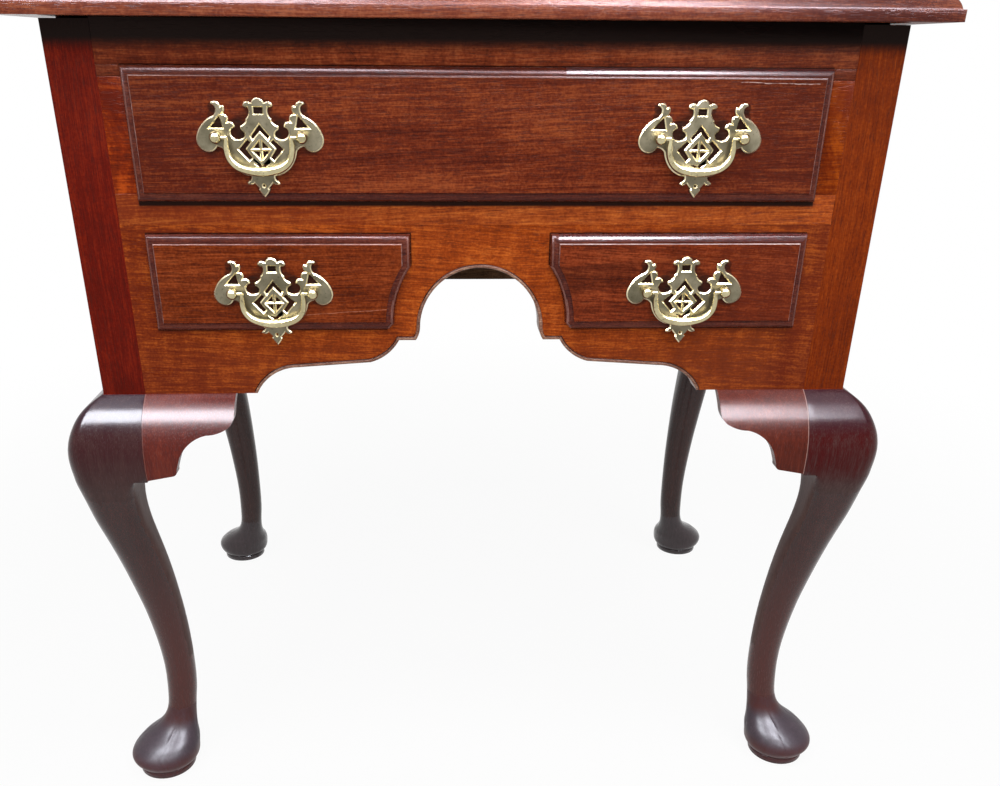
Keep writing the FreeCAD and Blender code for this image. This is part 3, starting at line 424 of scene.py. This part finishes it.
def wood(name, axis, dark, mid, light, seed, streak=0.26, figure=0.12, grit=0.22, tilt=0.0,
         warp=0.008, contrast=1.0, rough=0.28, specular=0.12, sheen=RED_SHEEN, pores=0.4,
         bump=0.3, shade=(), tint=(), marks=(), painted_lip_shadows=(), grime_and_shade=()):
    """Polished or plain wood. The grain runs along the axis; colours are 0 to 255.

    shade: (axis, from, to, strength) darkens towards the first place.
    tint: (axis, from, to, colour, strength) leans the colour from one place to the other.
    marks: (x0, z0, x1, z1, half width, colour, strength, evenness) is a scratch, or a line
    at a joint where it is even, on a front face.
    painted_lip_shadows: (x0, x1, z0, z1, softness) is a dark rectangle, a painted shadow round a
    lip.
    grime_and_shade: (x, z, half width, half height, strength, fade) is a dark oval of grime and
    painted shade, behind or round a pierced plate; the fade is the share of its width where it has
    its full strength.
    """
    material, graph = new_material(name)
    place = graph.add("TexCoord").outputs["Object"]
    xyz = graph.add("SeparateXYZ", {0: place}).outputs
    turned, curved = grain_space(graph, place, axis, seed, tilt, warp)
    fibres = graph.grain(curved, axis, FIBRES)
    patches = graph.grain(turned, axis, PATCHES)
    parts = ((fibres, FIBRE), (graph.grain(curved, axis, STREAKS), streak),
             (graph.grain(curved, axis, BANDS), BAND), (graph.grain(curved, axis, RIBBONS), figure),
             (patches, BLOTCH), (graph.noise(turned, *SPECKS), grit))
    value = blend(graph, parts, SPREAD * contrast)
    tones = [linear(*tone) for tone in (dark, mid, light)]
    colour = graph.ramp(value, list(zip(TONE_PLACES, tones)))
    dashes = graph.span(graph.grain(curved, axis, PORES), *PORE_EDGE)
    colour = graph.mix(graph.times(dashes, pores), colour, linear(*[c * PORE_TONE for c in dark]))

    for at, low, high, tone, strength in tint:
        colour = leaned(graph, colour, value, xyz[at], low, high, tone, strength)
    for at, low, high, strength in shade:
        share = graph.times(graph.span(xyz[at], high, low), strength)
        colour = graph.mix(share, colour, linear(*SHADOW))
    if marks or painted_lip_shadows or grime_and_shade:
        colour = marked(graph, colour, place, xyz, marks, painted_lip_shadows, grime_and_shade)

    roughness = graph.math("MULTIPLY_ADD", patches, ROUGH_PATCH, rough - ROUGH_PATCH / 2)
    roughness = graph.math("MULTIPLY_ADD", dashes, ROUGH_PORE, roughness)
    height = graph.math("MULTIPLY_ADD", dashes, -PORE_DEPTH, fibres)
    height = graph.math("MULTIPLY_ADD", patches, PATCH_RISE, height)
    graph.surface({"Base Color": colour, "Roughness": roughness, "Specular IOR Level": specular,
                   "Specular Tint": sheen + (1.0,)}, height, bump, RELIEF)
    return material


def brass(name, flat, worn, dirt, rough, seed):
    """Old brass: a mellow colour, worn brighter in places, with dirt in small spots.

    rough is the roughness where it is least worn.
    """
    material, graph = new_material(name)
    place = graph.add("Mapping", {"Vector": graph.add("TexCoord").outputs["Object"],
                                  "Location": (seed, seed, seed)}).outputs[0]
    clouds = graph.noise(place, *WEAR)
    specks = graph.noise(place, *DIRT)
    tones = [linear(*flat), linear(*worn)]
    colour = graph.ramp(clouds, list(zip(WEAR_PLACES, tones)))
    share = graph.span(specks, *DIRT_EDGE, 0.0, DIRT_STRENGTH)
    colour = graph.mix(share, colour, linear(*dirt))
    roughness = graph.math("MULTIPLY_ADD", clouds, ROUGH_WEAR, rough)
    height = graph.math("MULTIPLY_ADD", specks, DIRT_RISE, clouds)
    graph.surface({"Base Color": colour, "Metallic": 1.0, "Roughness": roughness},
                  height, BRASS_BUMP, BRASS_RELIEF)
    return material


def lip_shadows():
    """Painted shadows: dark rectangles just wider than the lips of the drawers, lowest under the
    lips.
    """
    low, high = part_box("top_drawer_front")
    shadows = [(low.x - LIP_EDGE, high.x + LIP_EDGE, low.z - TOP_DROP, high.z + LIP_EDGE, TOP_SOFT)]
    low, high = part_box("right_drawer_front")
    outer = high.x + LIP_EDGE
    for inner, base, top in ((low.x - LIP_EDGE, low.z + LIP_WAIST, high.z + LIP_EDGE),
                             (LIP_LOWER_INNER, low.z - SMALL_DROP, low.z + LIP_LOWER)):
        shadows += [(inner, outer, base, top, SMALL_SOFT), (-outer, -inner, base, top, SMALL_SOFT)]
    return shadows


def plate_grime_and_shade(*handles):
    """Dark ovals of grime and painted shade behind the openings of these handles' plates and round
    their outlines.
    """
    spots = []
    for handle in handles:
        low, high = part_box(handle + "_handle_plate")
        middle, posts = (low.x + high.x) / 2, high.z - PLATE_TOP
        for ovals, strength, full in OVALS:
            for out, rise, wide, tall in ovals:
                for x in sorted({middle - out, middle + out}):
                    spots.append((x, posts + rise, wide, tall, strength, full))
    return spots


# ------------------------------------------------------------------ shapes
def dress(node, material):
    """Gives a node's whole surface one material."""
    if not NODES[node].material_slots:
        NODES[node].data.materials.append(material)
    for slot in NODES[node].material_slots:
        slot.material = material


def smoothed(node):
    """A node's object, smoothly shaded and with its shared corners joined."""
    piece = NODES[node]
    piece.modifiers.new("weld", "WELD").merge_threshold = WELD
    piece.data.polygons.foreach_set("use_smooth", [True] * len(piece.data.polygons))
    return piece


def soften(node, width, limit=40.0):
    """Rounds a board's arrises a little."""
    bevel = smoothed(node).modifiers.new("arris", "BEVEL")
    bevel.width, bevel.segments = width, 2
    bevel.limit_method, bevel.angle_limit = "ANGLE", math.radians(limit)
    bevel.harden_normals = True


def shade_round(node, angle=32.0):
    """Smooth shading across a curved node's facets, with its sharp edges kept."""
    split = smoothed(node).modifiers.new("sharp", "EDGE_SPLIT")
    split.split_angle = math.radians(angle)


def welded(node):
    """A bmesh of a node with its shared corners joined."""
    bm = bmesh.new()
    bm.from_mesh(NODES[node].data)
    bmesh.ops.remove_doubles(bm, verts=bm.verts, dist=WELD)
    bmesh.ops.recalc_face_normals(bm, faces=bm.faces)
    return bm


def loops_at(node, y):
    """The closed outlines, as (x, z) points, of a node's face in the plane at y."""
    bm = welded(node)
    inside = {f for f in bm.faces if all(abs(v.co.y - y) < 2 * WELD for v in f.verts)}
    ways = {}
    for f in inside:
        for loop in f.loops:
            if sum(g in inside for g in loop.edge.link_faces) == 1:
                ways[loop.vert.index] = loop.link_loop_next.vert.index
    bm.verts.ensure_lookup_table()
    loops = []
    while ways:
        start = at = next(iter(ways))
        points = []
        while at in ways:
            points.append((bm.verts[at].co.x, bm.verts[at].co.z))
            at = ways.pop(at)
        if at == start and len(points) > 2:
            loops.append(points)
    bm.free()
    return loops


def inset(points, depth):
    """The closed outline moved to its left by the depth, with mitred corners."""
    moved = []
    for i, (x, z) in enumerate(points):
        sides = []
        for (ax, az), (bx, bz) in ((points[i - 1], (x, z)),
                                   ((x, z), points[(i + 1) % len(points)])):
            length = math.hypot(bx - ax, bz - az)
            sides.append(((az - bz) / length, (bx - ax) / length))
        (ax, az), (bx, bz) = sides
        reach = depth / max(1 + ax * bx + az * bz, MITRE)
        moved.append((x + (ax + bx) * reach, z + (az + bz) * reach))
    return moved


def filled(name, loops, **settings):
    """The flat mesh between closed outlines, or a thicker one by the curve's settings."""
    curve = bpy.data.curves.new(name, "CURVE")
    curve.dimensions, curve.fill_mode = "2D", "BOTH"
    for points in loops:
        spline = curve.splines.new("POLY")
        spline.points.add(len(points) - 1)
        for point, (x, z) in zip(spline.points, points):
            point.co = (x, z, 0, 1)
        spline.use_cyclic_u = True
    for key, value in settings.items():
        setattr(curve, key, value)
    source = bpy.data.objects.new(name, curve)
    bpy.context.scene.collection.objects.link(source)
    bpy.context.view_layer.update()
    graph = bpy.context.evaluated_depsgraph_get()
    mesh = bpy.data.meshes.new_from_object(source.evaluated_get(graph))
    bpy.data.objects.remove(source)
    return mesh


def stand_for(node, bm, angle, body, materials):
    """A piece that is shown in place of a node, smooth but at edges sharper than the angle."""
    mesh = bpy.data.meshes.new(node + ".shown")
    bm.to_mesh(mesh)
    bm.free()
    mesh.polygons.foreach_set("use_smooth", [True] * len(mesh.polygons))
    mesh.set_sharp_from_angle(angle=math.radians(angle))
    piece = bpy.data.objects.new(node + ".shown", mesh)
    for material in materials:
        mesh.materials.append(material)
    bpy.context.scene.collection.objects.link(piece)
    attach(piece, body)
    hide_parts(node)
    return mesh


def apron_bead(materials):
    """The bead with rounded edges. Its pale first material is a painted highlight; its dark second
    material, where it looks up, is painted shade in the crevice under the apron.
    """
    low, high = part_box("apron_bead")
    mesh = filled("apron_bead", loops_at("apron_bead", low.y), offset=-BEAD_ROUND,
                  extrude=(high.y - low.y) / 2 - BEAD_ROUND, bevel_depth=BEAD_ROUND,
                  bevel_resolution=3)
    mesh.transform(Matrix.Translation((0, (low.y + high.y) / 2, 0))
                   @ Matrix.Rotation(math.pi / 2, 4, "X"))
    bm = bmesh.new()
    bm.from_mesh(mesh)
    bpy.data.meshes.remove(mesh)
    bmesh.ops.remove_doubles(bm, verts=bm.verts, dist=WELD / 2)
    for f in bm.faces:
        f.material_index = int(f.normal.z > BEAD_TOP)
    stand_for("apron_bead", bm, 50.0, "case", materials)


def back_plate(handle, body, materials):
    """A pierced plate with a chamfer, its second material, round its outline and openings."""
    node = handle + "_handle_plate"
    low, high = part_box(node)
    loops = loops_at(node, low.y)
    inner = [inset(points, CHAMFER) for points in loops]
    bm = bmesh.new()
    for outlines, y in ((inner, low.y), (loops, high.y)):
        sheet = filled(node, outlines)
        made = [bm.verts.new((v.co.x, y, v.co.y)) for v in sheet.vertices]
        for polygon in sheet.polygons:
            bm.faces.new([made[i] for i in polygon.vertices])
        bpy.data.meshes.remove(sheet)
    for points, moved in zip(loops, inner):
        rings = [[bm.verts.new((x, y, z)) for x, z in ring] for ring, y in
                 ((moved, low.y), (points, low.y + CHAMFER), (points, high.y))]
        for level, (upper, lower) in enumerate(zip(rings, rings[1:])):
            for i in range(len(points)):
                face = bm.faces.new((upper[i - 1], upper[i], lower[i], lower[i - 1]))
                face.material_index = 1 - level
    bmesh.ops.remove_doubles(bm, verts=bm.verts, dist=WELD / 5)
    bmesh.ops.recalc_face_normals(bm, faces=bm.faces)
    stand_for(node, bm, 28.0, body, materials)


def front_finish(face):
    """Which finish a face of a drawer's front has, by its place and slope."""
    middle, normal = face.calc_center_median(), face.normal
    polished = middle.x > POLISHED_FROM
    if middle.y > FRONT - NEAR:
        return LINING
    if middle.y < FIELD_Y + NEAR and normal.y < -OUTWARD:
        return FIELD
    # the field's eased arris: a painted highlight, brighter on the right of the top lips
    if middle.y < FIELD_Y + ARRIS - NEAR and normal.z > -PARTLY and normal.y < -PARTLY:
        return BRIGHT_ARRIS_HIGHLIGHT if polished and normal.z > PARTLY else ARRIS_HIGHLIGHT
    # a lip's crown, where it turns sideways: a painted highlight
    if middle.y < FRONT - CROWN_DEPTH and CROWN_SLOPES[0] < abs(normal.x) < CROWN_SLOPES[1]:
        return CROWN
    return POLISHED_LIP if polished and normal.z > HARDLY else LIP


def drawer_front(body, materials):
    """A drawer's front with the arris of its field eased, and one material for each finish."""
    node = body + "_front"
    bm = welded(node)
    bmesh.ops.dissolve_limit(bm, angle_limit=FLAT, verts=bm.verts, edges=bm.edges,
                             use_dissolve_boundaries=False)
    arris = [e for e in bm.edges if len(e.link_faces) == 2
             and all(abs(v.co.y - FIELD_Y) < NEAR / 2 for v in e.verts)
             and e.calc_face_angle(0) > CORNER and e.calc_length() > SHORT]
    bmesh.ops.bevel(bm, geom=arris, offset=ARRIS, segments=1, affect="EDGES",
                    clamp_overlap=True, profile=0.5)
    bmesh.ops.bisect_plane(bm, geom=bm.verts[:] + bm.edges[:] + bm.faces[:],
                           plane_co=(POLISHED_FROM, 0.0, 0.0), plane_no=(1.0, 0.0, 0.0))
    for f in bm.faces:
        f.material_index = front_finish(f)
    stand_for(node, bm, 32.0, body, materials)


def leg_finish(face):
    """Which finish a face of a leg has, by its height and where it looks."""
    middle, normal = face.calc_center_median(), face.normal
    if middle.z > APRON_BASE - WELD:
        return POST
    if middle.z > INNER_BASE and abs(normal.x) > INWARD and normal.x * middle.x < 0:
        return INNER
    if middle.z > KNEE_BASE:
        return KNEE
    return SHANK if middle.z > FOOT_TOP else FOOT


def leg(corner, materials):
    """A leg with one material for each finish, its post's corners sharp."""
    node = corner + "_leg"
    bm = welded(node)
    for f in bm.faces:
        f.material_index = leg_finish(f)
    bm.edges.index_update()
    corners = [e.index for e in bm.edges if e.calc_face_angle(0) > BENT
               and any(f.calc_area() > POST_FACE for f in e.link_faces)]
    mesh = stand_for(node, bm, 40.0, "case", materials)
    for i in corners:
        mesh.edges[i].use_edge_sharp = True


# ------------------------------------------------------------------ the case
def dress_top():
    dress("top_board", wood(
        "top_wood", X, (86, 34, 24), (122, 56, 34), (156, 88, 58), 3.1, specular=0.15,
        sheen=(1.0, 0.95, 1.0), rough=0.22, tint=[(X, 0.10, 0.30, (70, 26, 18), 0.95)]))
    soften("top_board", 0.0008, 25.0)


def dress_rails(shadows):
    rail = wood("rail_wood", X, (74, 28, 13), (126, 53, 25), (168, 86, 46), 1.3,
                shade=[UNDER_TOP], figure=0.2, painted_lip_shadows=shadows,
                tint=[(X, 0.08, 0.26, (84, 32, 22), 0.6), (X, -0.14, -0.24, (92, 32, 18), 0.5)],
                marks=[(-0.1016, 0.6675, -0.0914, 0.6531, 0.0004, (40, 16, 12), 0.7, 0.3)])
    strip = wood("strip_wood", X, (71, 27, 16), (107, 45, 25), (138, 69, 42), 2.2,
                 painted_lip_shadows=shadows)
    middle = wood("middle_rail_wood", X, (110, 42, 14), (158, 70, 24), (200, 106, 42), 4.4,
                  tilt=0.03, warp=0.014, painted_lip_shadows=shadows,
                  tint=[(X, -0.08, -0.10, (128, 48, 20), 0.5),
                        (X, -0.20, -0.27, (110, 34, 14), 0.5)])
    for node, material in (("top_rail", rail), ("top_rail_strip", strip), ("mid_rail", middle)):
        dress(node, material)
        soften(node, 0.0004)


def dress_apron(shadows):
    apron = wood("apron_wood", X, (104, 38, 9), (150, 62, 15), (196, 98, 32), 5.2,
                 tilt=-0.04, warp=0.02, figure=0.2, painted_lip_shadows=shadows,
                 tint=[(X, 0.10, 0.24, (108, 46, 22), 0.6), (Z, 0.455, 0.41, (104, 42, 22), 0.6),
                       (X, -0.15, -0.27, (92, 26, 10), 0.7), (X, 0.235, 0.265, (92, 26, 8), 0.7)])
    # The bead's pale tones are a painted highlight; its dark edge where it looks up is painted
    # crevice shade.
    bead = wood("bead_highlight_wood", X, (96, 60, 46), (136, 94, 76), (186, 148, 122), 6.3,
                specular=0.2, sheen=PLAIN, rough=0.35)
    bead_crevice_shade = wood("bead_crevice_shade_wood", X, (30, 12, 8), (48, 20, 12), (70, 34, 22), 6.6)
    dress("apron_board", apron)
    shade_round("apron_board")
    apron_bead((bead, bead_crevice_shade))


def dress_stiles(shadows):
    figured = dict(figure=0.5, streak=0.3, warp=0.02, painted_lip_shadows=shadows)
    stiles = {
        "left": wood("left_stile_wood", X, (82, 20, 4), (128, 40, 7), (186, 76, 18), 7.7,
                     tint=[(Z, 0.585, 0.64, (96, 20, 7), 0.7)], **figured),
        "right": wood("right_stile_wood", X, (84, 25, 4), (117, 41, 7), (158, 70, 15), 8.5,
                      specular=0.08, rough=0.22, tint=[(Z, 0.60, 0.64, (120, 38, 8), 0.7)],
                      **figured),
    }
    for side, material in stiles.items():
        dress(side + "_inner_stile", material)
        soften(side + "_inner_stile", 0.0004)


def dress_sides():
    panel = wood("side_wood", Z, (76, 28, 14), (120, 50, 22), (156, 78, 36), 9.1, warp=0.02,
                 shade=[UNDER_TOP])
    for side in ("left", "right"):
        dress(side + "_side_panel", panel)
        soften(side + "_side_panel", 0.0005)


def post_wood(corner, tones, seed):
    return wood(corner + "_post_wood", Z, *tones, seed, shade=[UNDER_TOP], contrast=0.8)


def dress_legs():
    polish = dict(sheen=PLAIN, contrast=0.6, grit=0.05, pores=0.15, bump=0.1)
    shank = wood("leg_wood", Z, (36, 10, 7), (50, 16, 12), (68, 26, 19), 10.0, specular=0.42,
                 rough=0.2, tint=[(Z, 0.27, 0.11, (76, 20, 8), 0.8)], **polish)
    # The foot's blue-grey tones, between its red-brown top and rim, are a painted sheen.
    foot = wood("foot_wood", Z, (56, 46, 52), (66, 55, 63), (82, 67, 75), 10.0, specular=0.2,
                rough=0.34, tint=[(Z, 0.040, 0.052, (72, 32, 29), 1.0),
                                  (Z, 0.028, 0.016, (84, 36, 30), 0.8)], **polish)
    # The knees lean to a cool purple at their tops, a painted tone of the cool sheen there.
    knees = {
        "left": wood("left_knee_wood", Z, (48, 30, 28), (62, 40, 38), (80, 52, 48), 10.0,
                     specular=0.22, rough=0.18, tint=[(Z, 0.315, 0.355, (52, 4, 10), 1.0),
                                                      (Z, 0.370, 0.385, (34, 14, 34), 0.7)],
                     **polish),
        "right": wood("right_knee_wood", Z, (56, 40, 38), (70, 52, 50), (86, 64, 62), 10.5,
                      specular=0.12, rough=0.2, tint=[(Z, 0.310, 0.340, (66, 4, 4), 1.0),
                                                      (Z, 0.362, 0.380, (40, 12, 26), 0.7)],
                      **dict(polish, contrast=0.8)),
    }
    # The back legs darken towards their tops: painted shade under the case.
    back_shank = wood("back_leg_wood", Z, (34, 14, 12), (49, 23, 19), (66, 36, 30), 10.0,
                      specular=0.34, rough=0.2, tint=[(Z, 0.24, 0.33, (16, 12, 14), 0.8)],
                      **polish)
    back_foot = wood("back_foot_wood", Z, (42, 30, 32), (56, 43, 46), (72, 56, 60), 10.0,
                     specular=0.42, rough=0.16, **polish)
    # The inner sides' paler, greyer tones are a painted sheen.
    inner = wood("inner_leg_wood", Z, (60, 40, 36), (76, 52, 48), (92, 68, 62), 14.0,
                 specular=0.12, rough=0.4, **dict(polish, grit=0.22))
    for side, tones, seed in (("left", ((72, 9, 3), (97, 15, 4), (126, 31, 8)), 10.4),
                              ("right", ((88, 27, 4), (119, 42, 5), (150, 63, 12)), 11.5)):
        post = post_wood("front_" + side, tones, seed)
        leg("front_" + side, [post, shank, knees[side], foot, inner])
    for side, seed in (("left", 12.6), ("right", 13.7)):
        post = post_wood("back_" + side, ((66, 24, 12), (108, 42, 20), (146, 70, 34)), seed)
        leg("back_" + side, [post, back_shank, back_shank, back_foot, back_shank])


def dress_brackets():
    """The knee brackets, the front ones with a pale line at the joint where they meet the leg."""
    for side, tones, specular, seed, x, joint in (
            ("left", ((64, 12, 2), (88, 20, 6), (116, 42, 20)), 0.24, 15.0,
             JOINT_HALF - JOINT_X, ((140, 106, 98), 0.35, 0.5)),
            ("right", ((62, 18, 8), (86, 28, 14), (113, 48, 30)), 0.15, 15.4,
             JOINT_X - JOINT_HALF, ((170, 138, 130), 0.7, 0.8))):
        bracket = wood(side + "_bracket_wood", Z, *tones, seed, specular=specular, sheen=PLAIN,
                       rough=0.24, bump=0.12, grit=0.06, pores=0.15, contrast=0.7,
                       marks=[(x, JOINT_TOP, x, JOINT_LOW, JOINT_HALF, *joint)])
        for node in ("front_%s_bracket", "%s_front_side_bracket", "%s_back_side_bracket"):
            dress(node % side, bracket)
            shade_round(node % side)


def dress_back_and_inside():
    aged = wood("back_wood", X, (48, 34, 24), (80, 58, 42), (112, 84, 62), 16.0, rough=0.6,
                specular=0.1, shade=[UNDER_TOP])
    pine = wood("inside_wood", Y, (120, 82, 46), (164, 122, 76), (196, 158, 108), 17.0,
                rough=0.6, specular=0.1, pores=0.1)
    dress("back_board", aged)
    for node in ("left_upper_runner", "right_upper_runner", "left_lower_runners",
                 "right_lower_runners", "left_partition", "right_partition", "drawer_guides",
                 "drawer_kickers", "top_glue_blocks"):
        dress(node, pine)
        soften(node, 0.0005)


# ------------------------------------------------------------------ the drawers and handles
def field_woods():
    """The wood of each drawer's field, with its own tilt, tones and scratches, and grime and
    painted shade round its plates.
    """
    return {
        "top": wood("top_field", X, (66, 18, 7), (103, 38, 17), (146, 70, 34), 20.0, tilt=0.02,
                    tint=[(X, -0.10, -0.24, (70, 17, 8), 0.6), (X, 0.12, 0.24, (76, 26, 16), 0.5)],
                    marks=[(0.1923, 0.6415, 0.2530, 0.6400, 0.0004, (206, 180, 172), 0.9, 0.3)],
                    grime_and_shade=plate_grime_and_shade("top_left", "top_right")),
        "left": wood("left_field", X, (72, 23, 6), (112, 43, 13), (150, 70, 30), 22.0,
                     marks=[(-0.1423, 0.4675, -0.0694, 0.4720, 0.0004, (172, 112, 86), 0.8, 0.3)],
                     grime_and_shade=plate_grime_and_shade("left")),
        "right": wood("right_field", X, (70, 22, 7), (112, 42, 17), (152, 70, 34), 24.0,
                      tilt=-0.06, tint=[(X, 0.17, 0.22, (92, 32, 16), 0.6)],
                      grime_and_shade=plate_grime_and_shade("right")),
    }


def dress_drawers():
    oak_tones = ((122, 90, 54), (166, 130, 84), (198, 164, 114))
    oak = wood("lining_wood", Y, *oak_tones, 18.0, rough=0.5, specular=0.15)
    across = wood("lining_wood_across", X, *oak_tones, 19.0, rough=0.5, specular=0.15)
    fields = field_woods()
    lip = wood("lip_wood", X, (56, 17, 10), (84, 31, 18), (112, 54, 36), 26.0, specular=0.16,
               sheen=(1.0, 0.92, 0.95), rough=0.25, bump=0.15)
    polished_lip = wood("polished_lip_wood", X, (48, 0, 0), (72, 4, 0), (98, 26, 12), 26.5,
                        specular=0.5, sheen=PLAIN, rough=0.28, bump=0.15)
    # The lighter crown of a lip's sides is a painted highlight.
    crown = wood("lip_crown_highlight_wood", Z, (84, 44, 38), (118, 72, 62), (150, 104, 92), 27.0,
                 specular=0.2, sheen=(1.0, 0.9, 0.95), rough=0.2)
    # The field's arris is painted paler as a highlight, and paler still on the right of the top
    # lips.
    worn = wood("arris_highlight_wood", X, (116, 70, 60), (150, 104, 94), (196, 156, 146), 28.0,
                specular=0.25, sheen=PLAIN, rough=0.25)
    bright_arris = wood("bright_arris_wood", X, (150, 118, 112), (190, 162, 156),
                        (222, 202, 196), 28.5, specular=0.25, sheen=PLAIN, rough=0.25)
    for drawer, field in fields.items():
        body = drawer + "_drawer"
        drawer_front(body, [field, lip, across, worn, crown, polished_lip, bright_arris])
        for piece, material in (("left_side", oak), ("right_side", oak), ("bottom", oak),
                                ("back", across)):
            dress(body + "_" + piece, material)
            shade_round(body + "_" + piece)


def dress_brass():
    plate = brass("plate_brass", (90, 84, 66), (126, 118, 98), (46, 39, 28), 0.22, 1.0)
    rim = brass("rim_brass", (198, 184, 146), (226, 214, 180), (120, 104, 74), 0.14, 3.0)
    cast = brass("bail_brass", (166, 154, 118), (204, 194, 156), (96, 78, 50), 0.04, 2.0)
    for handle, body in HANDLES:
        back_plate(handle, body, (plate, rim))
        dress(handle + "_bail", cast)
        shade_round(handle + "_bail", 60.0)
    for drawer in ("top", "left", "right"):
        for piece, material in (("_handle_posts", cast), ("_handle_nuts", plate)):
            dress(drawer + piece, material)
            shade_round(drawer + piece, 40.0)


make_camera()
make_world()
make_floor()
for lamps, gleam in ((LIGHTS, False), (GLEAMS, True)):
    for lamp in lamps:
        make_lamp(*lamp, gleam)
dress_top()
# painted shadows round the drawers' lips, on the rails, apron and stiles
lip_shadow_boxes = lip_shadows()
dress_rails(lip_shadow_boxes)
dress_apron(lip_shadow_boxes)
dress_stiles(lip_shadow_boxes)
dress_sides()
dress_legs()
dress_brackets()
dress_back_and_inside()
dress_drawers()
dress_brass()
bpy.context.scene.view_settings.view_transform = "Standard"
